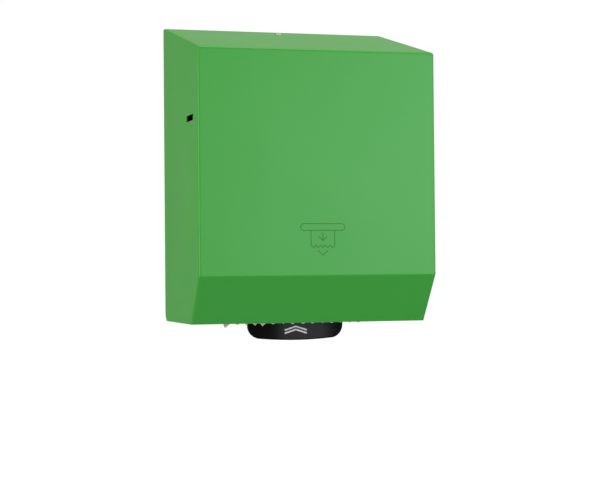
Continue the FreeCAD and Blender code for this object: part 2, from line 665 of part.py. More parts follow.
def mounting_nuts():
    """Nuts on the weld studs."""
    nuts = []
    for x, z, sheet in stud_places():
        nut = hexagon(NUT_FLATS, NUT_HEIGHT).cut(Part.makeCylinder(STUD_R + RUN_GAP, NUT_HEIGHT))
        nut.rotate(vec(0, 0, 0), vec(1, 0, 0), 90)
        nut.translate(vec(x, -BASE_SHEET - sheet, z))
        nuts.append(nut)
    return group(nuts)


# ---------------------------------------------------------------- mechanism frame
def member_screw_places():
    """(y, z) of the screws that go through each side plate into the cross pieces."""
    return {"tear_carrier": (CARRIER_BACK_Y - CARRIER_DEPTH / 2, (CARRIER_TOP + CARRIER_BOTTOM) / 2),
            "rear_member": (REAR_MEMBER_Y + REAR_MEMBER_DEPTH / 2,
                            (REAR_MEMBER_BOTTOM + REAR_MEMBER_TOP) / 2),
            "paper_guide": (GUIDE_FRONT_Y + GUIDE_SHELF, (GUIDE_TOP + PLATE_BOTTOM) / 2)}


def gear_cover_lugs():
    """(y, z) of the three screws of the gear cover."""
    reaches = (GEAR_COVER_R, GEAR_COVER_R, gear_cover_hub_r())
    return [polar(LEVER_Y, LEVER_Z, r + LUG_OFFSET, angle) for r, angle in zip(reaches, LUG_ANGLES)]


def stop_places():
    """(y, z) of the stop posts: ahead of the sector at rest and behind it at full push."""
    turn = math.degrees(math.asin((STOP_SLEEVE_R + SEAT_GAP) / STOP_DISTANCE))
    return [polar(LEVER_Y, LEVER_Z, STOP_DISTANCE, SECTOR_START - turn),
            polar(LEVER_Y, LEVER_Z, STOP_DISTANCE, SECTOR_END + LEVER_TRAVEL + turn)]


def side_plate():
    """Right side plate with its foot; the left one is its mirror image, without the gear holes."""
    line = [(PLATE_OUTER_X + FOOT_WIDTH, -BASE_SHEET - PLATE_SHEET),
            (PLATE_OUTER_X, -BASE_SHEET - PLATE_SHEET), (PLATE_OUTER_X, -PLATE_REACH)]
    blank = folded_strip("xy", line[::-1], PLATE_SHEET, MEMBER_BEND, PLATE_BOTTOM, PLATE_TOP - PLATE_BOTTOM)
    shape = [(0, PLATE_BOTTOM, 0), (0, PLATE_TOP, 0), (-PLATE_SHOULDER, PLATE_TOP, PLATE_CORNER),
             (-PLATE_REACH, PLATE_TOP - PLATE_SHOULDER_DROP, PLATE_CORNER),
             (-PLATE_REACH, PLATE_BOTTOM + PLATE_TOE_RISE, PLATE_CORNER),
             (-PLATE_TOE, PLATE_BOTTOM, PLATE_CORNER)]
    solid = blank.common(plate("yz", shape, 0, 2 * PLATE_INNER_X))
    low, high = PLATE_BOTTOM + WINDOW_MARGIN, PLATE_TOP - WINDOW_MARGIN
    window = [(-WINDOW_REAR, low, WINDOW_CORNER), (-WINDOW_REAR, high, WINDOW_CORNER),
              (-WINDOW_TOP_FRONT, high, WINDOW_CORNER), (-WINDOW_FRONT, low, WINDOW_CORNER)]
    solid = solid.cut(plate("yz", window, 0, 2 * PLATE_INNER_X))
    solid = solid.cut(rod_x(SHAFT_R + RUN_GAP + BUSH_WALL, 0, 2 * PLATE_INNER_X, LEVER_Y, LEVER_Z))
    solid = solid.cut(rod_x(AXLE_R + RUN_GAP + BUSH_WALL, 0, 2 * PLATE_INNER_X, FEED_Y, FEED_Z))
    half = BLOCK_HEIGHT / 2 + SLIDE_GAP
    slot = box(0, 2 * PLATE_INNER_X, SLOT_FRONT_Y, SLOT_BACK_Y, PRESSURE_Z - half, PRESSURE_Z + half)
    nib_half = PRESSURE_SPRING_R / 3
    nib = box(PLATE_INNER_X, PLATE_OUTER_X, SLOT_BACK_Y - PRESSURE_SPRING_LENGTH / 3, SLOT_BACK_Y + nib_half,
              PRESSURE_Z - nib_half, PRESSURE_Z + nib_half)
    solid = fuse(solid.cut(slot), nib)
    for y, z in member_screw_places().values():
        solid = solid.cut(rod_x(SCREW_R + SCREW_GAP, 0, 2 * PLATE_INNER_X, y, z))
    for x, z in foot_stud_places():
        solid = solid.cut(stud_hole(x, z))
    return solid


def right_side_plate():
    solid = side_plate()
    for y, z in gear_cover_lugs():
        solid = solid.cut(rod_x(SCREW_R, 0, 2 * PLATE_INNER_X, y, z))
    for y, z in stop_places():
        solid = solid.cut(rod_x(STOP_POST_R / 2, 0, 2 * PLATE_INNER_X, y, z))
    return solid


def left_side_plate():
    y, z = clutch_screw_place()
    return mirror(side_plate()).cut(rod_x(SCREW_R, -2 * PLATE_INNER_X, 0, y, z))


def end_tabs(y0, y1, z0, z1, screw):
    """Tabs that close both ends of a cross piece and take its screws."""
    tab = box(PLATE_INNER_X - MEMBER_SHEET, PLATE_INNER_X, y0, y1, z0, z1)
    tab = tab.cut(rod_x(SCREW_R, 0, PLATE_INNER_X, *screw))
    return [tab, mirror(tab)]


def front_cross_member():
    """Channel under the feed drum that carries the tear bar."""
    front_y = CARRIER_BACK_Y - CARRIER_DEPTH
    lip_z = CARRIER_BOTTOM + CARRIER_LIP_RISE
    line = [(CARRIER_BACK_Y, CARRIER_BOTTOM), (CARRIER_BACK_Y, CARRIER_TOP), (front_y, CARRIER_TOP),
            (front_y, lip_z)]
    channel = folded_strip("yz", line, MEMBER_SHEET, MEMBER_BEND, -PLATE_INNER_X, 2 * PLATE_INNER_X)
    tabs = end_tabs(front_y + MEMBER_SHEET / 2, CARRIER_BACK_Y - MEMBER_SHEET / 2, lip_z,
                    CARRIER_TOP - MEMBER_SHEET / 2, member_screw_places()["tear_carrier"])
    solid = fuse(channel, *tabs)
    for x, z in rivet_places():
        solid = solid.cut(rod_y(RIVET_R, x, front_y + MEMBER_SHEET * 2, 0, z))
    return solid


def rear_cross_member():
    """Channel behind the lever; the fixed legs of the return springs lean on it."""
    back_y = REAR_MEMBER_Y + REAR_MEMBER_DEPTH
    line = [(back_y, REAR_MEMBER_BOTTOM), (REAR_MEMBER_Y, REAR_MEMBER_BOTTOM),
            (REAR_MEMBER_Y, REAR_MEMBER_TOP), (back_y, REAR_MEMBER_TOP)]
    channel = folded_strip("yz", line[::-1], MEMBER_SHEET, MEMBER_BEND, -PLATE_INNER_X, 2 * PLATE_INNER_X)
    tabs = end_tabs(REAR_MEMBER_Y + MEMBER_SHEET / 2, back_y, REAR_MEMBER_BOTTOM + MEMBER_SHEET / 2,
                    REAR_MEMBER_TOP - MEMBER_SHEET / 2, member_screw_places()["rear_member"])
    return fuse(channel, *tabs)


def paper_guide():
    """Moulded guide behind the paper, between the pressure roller and the mouth."""
    line = [(GUIDE_FRONT_Y + GUIDE_SHELF, GUIDE_TOP), (GUIDE_FRONT_Y, GUIDE_TOP - GUIDE_SHELF / 2),
            (GUIDE_FRONT_Y, PLATE_BOTTOM), (GUIDE_FRONT_Y + GUIDE_SHELF, PLATE_BOTTOM)]
    strip = folded_strip("yz", line, GUIDE_SHEET, MEMBER_BEND, -PLATE_INNER_X, 2 * PLATE_INNER_X)
    y, z = member_screw_places()["paper_guide"]
    lug = rod_x(LUG_R, PLATE_INNER_X - 2 * SCREW_REACH, PLATE_INNER_X, y, z)
    arm = box(PLATE_INNER_X - 2 * SCREW_REACH, PLATE_INNER_X, GUIDE_FRONT_Y + GUIDE_SHEET / 2, y,
              z - LUG_R, z + LUG_R)
    lug = fuse(lug, arm).cut(rod_x(SCREW_R, 0, PLATE_INNER_X, y, z))
    return fuse(strip, lug, mirror(lug))


def pan_screw_x(y, z, head_x, reach):
    """Cross-recessed pan-head screw along X: the head outside head_x, the shank reaching inwards."""
    end_x = head_x + SCREW_HEAD
    head = rod_x(SCREW_HEAD_R, head_x, end_x, y, z)
    head = chamfer_where(head, SCREW_HEAD_EDGE, lambda e: e.BoundBox.XMin > end_x - 1e-6)
    arm, half = CROSS_LENGTH / 2, CROSS_WIDTH / 2
    cross = fuse(box(end_x - CROSS_DEPTH, end_x, y - arm, y + arm, z - half, z + half),
                 box(end_x - CROSS_DEPTH, end_x, y - half, y + half, z - arm, z + arm))
    return fuse(head, rod_x(SCREW_R, head_x - reach, head_x, y, z)).cut(cross)


def cross_member_screws():
    """Screws through the side plates into the cross pieces."""
    screws = [pan_screw_x(y, z, PLATE_OUTER_X, PLATE_SHEET + SCREW_REACH)
              for y, z in member_screw_places().values()]
    return group(screws + [mirror(s) for s in screws])


# ---------------------------------------------------------------- tear bar
def rivet_places():
    half = ROLL_WIDTH / 2 - TEAR_PITCH
    z = (CARRIER_TOP + CARRIER_BOTTOM) / 2
    step = 2 * half / (TEAR_RIVETS - 1)
    return [(-half + k * step, z) for k in range(TEAR_RIVETS)]


def tear_bar():
    """Steel strip with pointed teeth along its lower edge."""
    half = ROLL_WIDTH / 2 + TEAR_OVERHANG
    root, top = TEAR_BOTTOM + TEAR_TOOTH, TEAR_BOTTOM + TEAR_HEIGHT
    teeth = zigzag(-ROLL_WIDTH / 2, ROLL_WIDTH / 2, TEAR_PITCH, root, TEAR_BOTTOM)
    border = [(-half, root)] + teeth + [(half, root), (half, top), (-half, top), (-half, root)]
    points = [vec(x, CARRIER_BACK_Y, z) for x, z in border]
    solid = Part.Face(Part.makePolygon(points)).extrude(vec(0, TEAR_THICKNESS, 0))
    for x, z in rivet_places():
        solid = solid.cut(rod_y(RIVET_R, x, CARRIER_BACK_Y, TEAR_BACK_Y, z))
    return solid


def tear_bar_rivets():
    """Rivets, flush at the paper and headed inside the channel."""
    rivets = []
    inside_y = CARRIER_BACK_Y - MEMBER_SHEET
    for x, z in rivet_places():
        shank = rod_y(RIVET_R, x, inside_y, TEAR_BACK_Y, z)
        head = rod_y(2 * RIVET_R, x, inside_y - RIVET_R / 2, inside_y, z)
        head = chamfer_where(head, RIVET_EDGE, lambda e: e.BoundBox.YMax < inside_y - RIVET_R / 2 + 1e-6)
        rivets.append(fuse(shank, head))
    return group(rivets)


# ---------------------------------------------------------------- bushes and clutches
def flanged_bush(bore, y, z):
    """Bush in the right side plate, its flange on the inside."""
    sleeve = rod_x(bore + BUSH_WALL, PLATE_INNER_X, PLATE_OUTER_X + BUSH_FLANGE, y, z)
    flange = rod_x(BUSH_FLANGE_R, PLATE_INNER_X - BUSH_FLANGE, PLATE_INNER_X, y, z)
    return fuse(sleeve, flange).cut(rod_x(bore, 0, 2 * PLATE_INNER_X, y, z))


def lever_bushes():
    bush = flanged_bush(SHAFT_R + RUN_GAP, LEVER_Y, LEVER_Z)
    return group([bush, mirror(bush)])


def feed_bushes():
    bush = flanged_bush(AXLE_R + RUN_GAP, FEED_Y, FEED_Z)
    return group([bush, mirror(bush)])


def clutch_screw_place():
    return FEED_Y, FEED_Z + CLUTCH_R + LUG_R


def anti_reverse_clutch():
    """One-way clutch body outside the left plate; it lets the axle turn in the feeding direction only."""
    face = PLATE_OUTER_X + BUSH_FLANGE + SEAT_GAP
    body = rod_x(CLUTCH_R, face, face + CLUTCH_WIDTH, FEED_Y, FEED_Z)
    y, z = clutch_screw_place()
    lug = fuse(rod_x(LUG_R, PLATE_OUTER_X, face + CLUTCH_LUG, y, z),
               box(face, face + CLUTCH_LUG, y - LUG_R, y + LUG_R, FEED_Z, z))
    solid = fuse(body, lug).cut(rod_x(AXLE_R + RUN_GAP, face, face + CLUTCH_WIDTH, FEED_Y, FEED_Z))
    return mirror(solid.cut(rod_x(SCREW_R + SCREW_GAP, 0, 2 * PLATE_INNER_X, y, z)))


def clutch_screw():
    head_x = PLATE_OUTER_X + BUSH_FLANGE + SEAT_GAP + CLUTCH_LUG
    return mirror(pan_screw_x(*clutch_screw_place(), head_x, head_x - PLATE_INNER_X))


# ---------------------------------------------------------------- gears
def involute_half_angle(teeth, shift, r):
    """Half of a tooth's angle at radius r, in degrees, thinned by half the backlash."""
    pitch_r = MODULE * teeth / 2
    alpha = math.radians(PRESSURE_ANGLE)
    base_r = pitch_r * math.cos(alpha)
    thickness = MODULE * (math.pi / 2 + 2 * shift * math.tan(alpha)) - BACKLASH / 2
    at_r = math.acos(min(1.0, base_r / r))
    involute_pitch = math.tan(alpha) - alpha
    involute_r = math.tan(at_r) - at_r
    return math.degrees(thickness / (2 * pitch_r) + involute_pitch - involute_r)


def tooth_edges(y, z, x, teeth, shift, root_r, tip_r, centre):
    """Edges of one tooth from root to root, with involute flanks drawn as arcs through three points."""
    base_r = MODULE * teeth / 2 * math.cos(math.radians(PRESSURE_ANGLE))
    start_r = max(base_r, root_r)
    radii = [start_r, (start_r + tip_r) / 2, tip_r]
    angles = [involute_half_angle(teeth, shift, r) for r in radii]
    lower = [vec(x, *polar(y, z, r, centre - a)) for r, a in zip(radii, angles)]
    upper = [vec(x, *polar(y, z, r, centre + a)) for r, a in zip(radii, angles)]
    tip = vec(x, *polar(y, z, tip_r, centre))
    edges = [Part.Arc(*lower).toShape(), Part.Arc(lower[2], tip, upper[2]).toShape(),
             Part.Arc(upper[2], upper[1], upper[0]).toShape()]
    if root_r < base_r - 1e-6:
        foot_low = vec(x, *polar(y, z, root_r, centre - angles[0]))
        foot_high = vec(x, *polar(y, z, root_r, centre + angles[0]))
        edges.insert(0, Part.LineSegment(foot_low, lower[0]).toShape())
        edges.append(Part.LineSegment(upper[0], foot_high).toShape())
    return edges


def arc_yz(y, z, x, r, start, end):
    """Arc about an X axis, by its angles."""
    points = [vec(x, *polar(y, z, r, a)) for a in (start, (start + end) / 2, end)]
    return Part.Arc(*points).toShape()


def pinion_blank(x, width):
    root_r = PITCH_PINION - MODULE * (DEDENDUM - PROFILE_SHIFT)
    tip_r = PITCH_PINION + MODULE * (ADDENDUM + PROFILE_SHIFT - TIP_TRIM)
    pitch = 360.0 / PINION_TEETH
    start_r = max(root_r, PITCH_PINION * math.cos(math.radians(PRESSURE_ANGLE)))
    half = involute_half_angle(PINION_TEETH, PROFILE_SHIFT, start_r)
    edges = []
    for k in range(PINION_TEETH):
        centre = MESH_ANGLE + k * pitch
        edges += tooth_edges(FEED_Y, FEED_Z, x, PINION_TEETH, PROFILE_SHIFT, root_r, tip_r, centre)
        edges.append(arc_yz(FEED_Y, FEED_Z, x, root_r, centre + half, centre + pitch - half))
    return Part.Face(Part.Wire(edges)).extrude(vec(width, 0, 0))


def drive_clutch_r():
    return AXLE_R + BUSH_WALL


def drive_pinion():
    """Small gear on the feed axle, with a hub towards the side plate."""
    hub_start = PLATE_OUTER_X + BUSH_FLANGE + SEAT_GAP
    hub = rod_x(PITCH_PINION - MODULE, hub_start, PINION_X, FEED_Y, FEED_Z)
    solid = fuse(pinion_blank(PINION_X, PINION_WIDTH), hub)
    return solid.cut(rod_x(drive_clutch_r(), hub_start, PINION_X + PINION_WIDTH, FEED_Y, FEED_Z))


def drive_clutch():
    """One-way clutch shell pressed into the pinion; it grips the axle on the push stroke."""
    start = PLATE_OUTER_X + BUSH_FLANGE + SEAT_GAP
    return ring_x(drive_clutch_r(), AXLE_R + RUN_GAP, start, PINION_X + PINION_WIDTH, FEED_Y, FEED_Z)


def sector_gear():
    """Toothed sector on the lever shaft, with a rim, two spokes and a hub."""
    shift = -PROFILE_SHIFT
    root_r = PITCH_SECTOR - MODULE * (DEDENDUM - shift)
    tip_r = PITCH_SECTOR + MODULE * (ADDENDUM + shift)
    pitch = 360.0 / SECTOR_TEETH
    first = math.ceil((SECTOR_START - MESH_AT_SECTOR) / pitch) + 0.5
    last = math.floor((SECTOR_END - MESH_AT_SECTOR) / pitch) - 0.5
    half = involute_half_angle(SECTOR_TEETH, shift, root_r)
    edges = []
    angle = SECTOR_START
    for k in range(int(last - first) + 1):
        centre = MESH_AT_SECTOR + (first + k) * pitch
        edges.append(arc_yz(LEVER_Y, LEVER_Z, SECTOR_X, root_r, angle, centre - half))
        edges += tooth_edges(LEVER_Y, LEVER_Z, SECTOR_X, SECTOR_TEETH, shift, root_r, tip_r, centre)
        angle = centre + half
    edges.append(arc_yz(LEVER_Y, LEVER_Z, SECTOR_X, root_r, angle, SECTOR_END))
    centre_point = vec(SECTOR_X, LEVER_Y, LEVER_Z)
    first_point = vec(SECTOR_X, *polar(LEVER_Y, LEVER_Z, root_r, SECTOR_START))
    last_point = vec(SECTOR_X, *polar(LEVER_Y, LEVER_Z, root_r, SECTOR_END))
    edges += [Part.LineSegment(last_point, centre_point).toShape(),
              Part.LineSegment(centre_point, first_point).toShape()]
    blade = Part.Face(Part.Wire(edges)).extrude(vec(SECTOR_WIDTH, 0, 0))
    inner_r = root_r - SECTOR_RIM
    spoke_out = math.degrees(SECTOR_SPOKE / inner_r)
    window = wedge_x(LEVER_Y, LEVER_Z, inner_r, SECTOR_START + spoke_out, SECTOR_END - spoke_out,
                     SECTOR_X, SECTOR_X + SECTOR_WIDTH)
    window = window.cut(rod_x(SECTOR_HUB_R + SECTOR_RIM, SECTOR_X, SECTOR_X + SECTOR_WIDTH, LEVER_Y, LEVER_Z))
    hub = rod_x(SECTOR_HUB_R, PINION_X, SECTOR_X + SECTOR_WIDTH, LEVER_Y, LEVER_Z)
    solid = fuse(blade.cut(window), hub)
    solid = solid.cut(rod_x(SHAFT_R, 0, 2 * PLATE_INNER_X, LEVER_Y, LEVER_Z))
    return solid.cut(sector_pin())


def sector_pin():
    middle = SECTOR_X + SECTOR_WIDTH / 2
    return rod_z(PIN_R, middle, LEVER_Y, LEVER_Z - SECTOR_HUB_R, LEVER_Z + SECTOR_HUB_R)


def stop_posts():
    """Shoulder posts in the right side plate, one ahead of the sector and one behind it."""
    posts = []
    for y, z in stop_places():
        shoulder = rod_x(STOP_POST_R, PLATE_OUTER_X, GEAR_COVER_INNER_X - SEAT_GAP, y, z)
        posts.append(fuse(shoulder, rod_x(STOP_POST_R / 2, PLATE_INNER_X, PLATE_OUTER_X, y, z)))
    return group(posts)


def stop_sleeves():
    """Rubber sleeves on the stop posts."""
    start, end = PLATE_OUTER_X + SEAT_GAP, PINION_X + PINION_WIDTH
    return group([ring_x(STOP_SLEEVE_R, STOP_POST_R, start, end, y, z) for y, z in stop_places()])


def gear_cover_hub_r():
    return SECTOR_HUB_R + GEAR_COVER_GAP + GEAR_COVER_WALL


def gear_cover_block(inset, x0, x1):
    """Outline of the gear cover, moved in by inset: the sector's sweep, its hub and the pinion."""
    beside_stop = 2 * STOP_SLEEVE_R + GEAR_COVER_GAP + GEAR_COVER_WALL - inset
    turn = math.degrees(math.asin(beside_stop / STOP_DISTANCE))
    sweep = wedge_x(LEVER_Y, LEVER_Z, GEAR_COVER_R - inset, SECTOR_START - turn,
                    SECTOR_END + LEVER_TRAVEL + turn, x0, x1)
    hub = rod_x(gear_cover_hub_r() - inset, x0, x1, LEVER_Y, LEVER_Z)
    tip_r = PITCH_PINION + 2 * MODULE
    nose = rod_x(tip_r + GEAR_COVER_GAP + GEAR_COVER_WALL - inset, x0, x1, FEED_Y, FEED_Z)
    return fuse(sweep, hub, nose)


def gear_cover():
    """Moulded cover over the sector and pinion, open towards the side plate."""
    outer = gear_cover_block(0, PLATE_OUTER_X, GEAR_COVER_OUTER_X)
    inner = gear_cover_block(GEAR_COVER_WALL, PLATE_OUTER_X, GEAR_COVER_INNER_X)
    lugs = [rod_x(LUG_R, PLATE_OUTER_X, PLATE_OUTER_X + GEAR_COVER_WALL, y, z) for y, z in gear_cover_lugs()]
    solid = fuse(outer, *lugs).cut(inner)
    solid = solid.cut(rod_x(AXLE_R + 2 * SEAT_GAP, PLATE_OUTER_X, 2 * PLATE_INNER_X, FEED_Y, FEED_Z))
    for y, z in gear_cover_lugs():
        solid = solid.cut(rod_x(SCREW_R + SCREW_GAP, 0, PLATE_OUTER_X + GEAR_COVER_WALL, y, z))
    return solid


def gear_cover_screws():
    head_x = PLATE_OUTER_X + GEAR_COVER_WALL
    return group([pan_screw_x(y, z, head_x, GEAR_COVER_WALL + PLATE_SHEET) for y, z in gear_cover_lugs()])


# ---------------------------------------------------------------- push lever
def paddle_outline():
    """Paddle seen from the front: straight sides, large corners and a bellied lower edge."""
    half = PADDLE_WIDTH / 2
    low = PADDLE_BOTTOM + PADDLE_SAG
    corner = PADDLE_CORNER
    side_z = low + corner
    lean = corner * (1 - math.sqrt(0.5))
    a, b = vec(-half, 0, side_z), vec(-half + corner, 0, low)
    c, d = vec(half - corner, 0, low), vec(half, 0, side_z)
    corner_left = Part.Arc(a, vec(-half + lean, 0, low + lean), b).toShape()
    belly = Part.Arc(b, vec(0, 0, low - PADDLE_SAG), c).toShape()
    corner_right = Part.Arc(c, vec(half - lean, 0, low + lean), d).toShape()
    top_right, top_left = vec(half, 0, PADDLE_TOP), vec(-half, 0, PADDLE_TOP)
    sides = [Part.LineSegment(d, top_right).toShape(), Part.LineSegment(top_right, top_left).toShape(),
             Part.LineSegment(top_left, a).toShape()]
    return Part.Face(Part.Wire([corner_left, belly, corner_right] + sides))


def paddle_face_r():
    """Radius of the crowned front face, seen from above."""
    half = PADDLE_WIDTH / 2
    return (half * half + PADDLE_CROWN * PADDLE_CROWN) / (2 * PADDLE_CROWN)


def paddle_shell():
    """Curved wall behind the crowned face, cut to the paddle's outline."""
    r = paddle_face_r()
    centre_y = -PADDLE_FRONT + r
    low = vec(0, centre_y, PADDLE_BOTTOM - PADDLE_WALL)
    tall = PADDLE_TOP - PADDLE_BOTTOM + 2 * PADDLE_WALL
    curved = Part.makeCylinder(r, tall, low).cut(Part.makeCylinder(r - PADDLE_WALL, tall, low))
    face = paddle_outline()
    face.translate(vec(0, -PADDLE_FRONT - PADDLE_WALL, 0))
    return curved.common(face.extrude(vec(0, PADDLE_FRONT, 0)))


def lever_rib(x):
    """Upright rib behind the paddle, tapering towards its lower end."""
    y_front = -PADDLE_FRONT + PADDLE_CROWN * (x / (PADDLE_WIDTH / 2)) ** 2 + PADDLE_WALL / 2
    y_back = -PADDLE_FRONT + PADDLE_CROWN + PADDLE_WALL + RIB_DEPTH
    corners = [(y_front, PADDLE_BOTTOM + PADDLE_CORNER / 2, 0), (y_front, PADDLE_TOP, 0),
               (y_back, PADDLE_TOP, RIB_TOP_CORNER),
               (y_back, PADDLE_BOTTOM + 2 * PADDLE_CORNER, RIB_FOOT_CORNER)]
    return plate("yz", corners, x - RIB_WALL / 2, RIB_WALL)


def lever_arm():
    """Right-hand arm from behind the paddle up to its boss on the shaft, stepped back above the paddle."""
    foot = PADDLE_TOP - 2 * PADDLE_CORNER
    toe = PADDLE_FRONT - PADDLE_CROWN - PADDLE_EDGE
    corners = [(-toe, foot, 0), (-toe, PADDLE_TOP, 0), (-ARM_FRONT, PADDLE_TOP, 0), (-ARM_FRONT, LEVER_Z, 0),
               (-ARM_BACK, LEVER_Z, 0), (-ARM_BACK, foot, ARM_CORNER)]
    beam = plate("yz", corners, ARM_X - ARM_WIDTH / 2, ARM_WIDTH)
    boss = rod_x(BOSS_R, ARM_X - BOSS_WIDTH / 2, ARM_X + BOSS_WIDTH / 2, LEVER_Y, LEVER_Z)
    return fuse(beam, boss)


def push_lever():
    """One moulding: crowned paddle, ribs, two arms and their bosses."""
    paddle = paddle_shell()

    def is_front_edge(edge):
        middle = edge.valueAt((edge.FirstParameter + edge.LastParameter) / 2)
        r = math.hypot(middle.x, middle.y - (-PADDLE_FRONT + paddle_face_r()))
        return abs(r - paddle_face_r()) < 1e-3 and middle.z < PADDLE_TOP - 1e-3

    paddle = fillet_where(paddle, PADDLE_EDGE, is_front_edge)
    span = PADDLE_WIDTH - 2 * PADDLE_CORNER
    ribs = [lever_rib(-span / 2 + k * span / (RIB_COUNT - 1)) for k in range(RIB_COUNT)]
    shelf_y = -PADDLE_FRONT + PADDLE_CROWN + PADDLE_WALL / 2
    shelf = box(-PADDLE_WIDTH / 2 + RIB_WALL, PADDLE_WIDTH / 2 - RIB_WALL, shelf_y, -ARM_BACK,
                PADDLE_TOP - RIB_WALL, PADDLE_TOP)
    arm = lever_arm()
    solid = fuse(paddle, shelf, arm, mirror(arm), *ribs)
    solid = solid.cut(rod_x(SHAFT_R, -PLATE_INNER_X, PLATE_INNER_X, LEVER_Y, LEVER_Z))
    for x in (-ARM_X, ARM_X):
        solid = solid.cut(rod_y(PIN_R, x, LEVER_Y - BOSS_R, LEVER_Y + BOSS_R, LEVER_Z))
    return solid


def lever_shaft():
    """Steel shaft through both side plates, with clip grooves and cross holes for the pins."""
    start = -PLATE_OUTER_X - BUSH_FLANGE - 2 * CLIP_THICKNESS - SEAT_GAP
    end = SECTOR_X + SECTOR_WIDTH + 2 * CLIP_THICKNESS
    shaft = rod_x(SHAFT_R, start, end, LEVER_Y, LEVER_Z)
    for x in lever_clip_places():
        shaft = shaft.cut(ring_x(CLIP_R, SHAFT_R - CLIP_GROOVE, x, x + CLIP_THICKNESS, LEVER_Y, LEVER_Z))
    for x in (-ARM_X, ARM_X):
        shaft = shaft.cut(rod_y(PIN_R, x, LEVER_Y - BOSS_R, LEVER_Y + BOSS_R, LEVER_Z))
    return shaft.cut(sector_pin())


def lever_clip_places():
    left = -PLATE_OUTER_X - BUSH_FLANGE - SEAT_GAP - CLIP_THICKNESS
    right = SECTOR_X + SECTOR_WIDTH
    return [left, right]


def retaining_clip(r, x, y, z):
    """E-clip: an open ring in a groove of a shaft of radius r."""
    ring = ring_x(CLIP_R, r - CLIP_GROOVE, x, x + CLIP_THICKNESS, y, z)
    mouth = box(x, x + CLIP_THICKNESS, y - CLIP_MOUTH, y + CLIP_MOUTH, z, z + CLIP_R)
    return ring.cut(mouth)


def lever_shaft_clips():
    return group([retaining_clip(SHAFT_R, x, LEVER_Y, LEVER_Z) for x in lever_clip_places()])


def lever_pins():
    """Spring pins that lock the lever and the sector to the shaft."""
    pins = [rod_y(PIN_R, x, LEVER_Y - BOSS_R, LEVER_Y + BOSS_R, LEVER_Z) for x in (-ARM_X, ARM_X)]
    return group(pins + [sector_pin()])


def return_spring():
    """Space of the right-hand torsion spring: coil round the shaft, one leg back, one leg behind the arm."""
    start = ARM_X + BOSS_WIDTH / 2 + SEAT_GAP
    end = start + RETURN_COIL_WIDTH
    coil = ring_x(RETURN_COIL_R, RETURN_COIL_R - RETURN_WIRE, start, end, LEVER_Y, LEVER_Z)
    r = RETURN_WIRE / 2
    top = LEVER_Z + RETURN_COIL_R - RETURN_WIRE
    fixed_leg = rod_y(r, end - RETURN_WIRE, LEVER_Y, REAR_MEMBER_Y - SEAT_GAP, top)
    back = -ARM_BACK + SEAT_GAP + r
    low = LEVER_Z - 3 * RETURN_COIL_R
    moving_leg = rod_z(r, start + RETURN_WIRE, back, low - r, LEVER_Z)
    hook = rod_x(r, ARM_X, start + RETURN_WIRE, back, low)
    bore = rod_x(RETURN_COIL_R - RETURN_WIRE, start, end, LEVER_Y, LEVER_Z)
    return fuse(coil, fixed_leg.cut(bore), moving_leg.cut(bore), hook)


# ---------------------------------------------------------------- feed drum
def feed_axle():
    """Steel axle through both side plates, the clutches and the hand knob."""
    end = KNOB_X + KNOB_WIDTH
    axle = rod_x(AXLE_R, feed_clip_places()[0] - CLIP_THICKNESS, end, FEED_Y, FEED_Z)
    for x in feed_clip_places():
        axle = axle.cut(ring_x(CLIP_R, AXLE_R - CLIP_GROOVE, x, x + CLIP_THICKNESS, FEED_Y, FEED_Z))
    return axle


def feed_clip_places():
    left = -PLATE_OUTER_X - BUSH_FLANGE - CLUTCH_WIDTH - 2 * SEAT_GAP - CLIP_THICKNESS
    right = PINION_X + PINION_WIDTH + SEAT_GAP
    return [left, right]


def feed_axle_clips():
    return group([retaining_clip(AXLE_R, x, FEED_Y, FEED_Z) for x in feed_clip_places()])


def feed_drum():
    """Moulded drum with hollow ends and hubs that reach the bushes."""
    drum = rod_x(DRUM_R, -DRUM_HALF, DRUM_HALF, FEED_Y, FEED_Z)
    for x0, x1 in ((-DRUM_HALF, -DRUM_HALF + DRUM_POCKET_DEPTH), (DRUM_HALF - DRUM_POCKET_DEPTH, DRUM_HALF)):
        drum = drum.cut(ring_x(DRUM_R - DRUM_WALL, AXLE_R + DRUM_HUB_WALL, x0, x1, FEED_Y, FEED_Z))
    hub_end = PLATE_INNER_X - BUSH_FLANGE - SEAT_GAP
    hub = rod_x(AXLE_R + DRUM_HUB_WALL, -hub_end, hub_end, FEED_Y, FEED_Z)
    return fuse(drum, hub).cut(rod_x(AXLE_R, -hub_end, hub_end, FEED_Y, FEED_Z))


def feed_grip_bands():
    """Rubber bands round the drum that drive the paper."""
    first = -(GRIP_BANDS - 1) / 2 * GRIP_BAND_PITCH
    bands = []
    for k in range(GRIP_BANDS):
        x = first + k * GRIP_BAND_PITCH
        bands.append(ring_x(GRIP_R, DRUM_R, x - GRIP_BAND_WIDTH / 2, x + GRIP_BAND_WIDTH / 2, FEED_Y, FEED_Z))
    return group(bands)


def feed_knob():
    """Fluted hand wheel for threading the paper."""
    knob = rod_x(KNOB_R, KNOB_X, KNOB_X + KNOB_WIDTH, FEED_Y, FEED_Z)
    knob = chamfer_where(knob, KNOB_EDGE, lambda e: e.BoundBox.XMin > KNOB_X + KNOB_WIDTH - 1e-6)
    for k in range(KNOB_FLUTES):
        y, z = polar(FEED_Y, FEED_Z, KNOB_R + KNOB_FLUTE_R / 2, k * 360.0 / KNOB_FLUTES)
        knob = knob.cut(rod_x(KNOB_FLUTE_R, KNOB_X, KNOB_X + KNOB_WIDTH, y, z))
    return knob.cut(rod_x(AXLE_R, KNOB_X, KNOB_X + KNOB_WIDTH, FEED_Y, FEED_Z))


# ---------------------------------------------------------------- pressure roller and its sliding blocks
def block_inner_x():
    return PLATE_INNER_X - SLIDE_GAP - BLOCK_LIP_THICKNESS


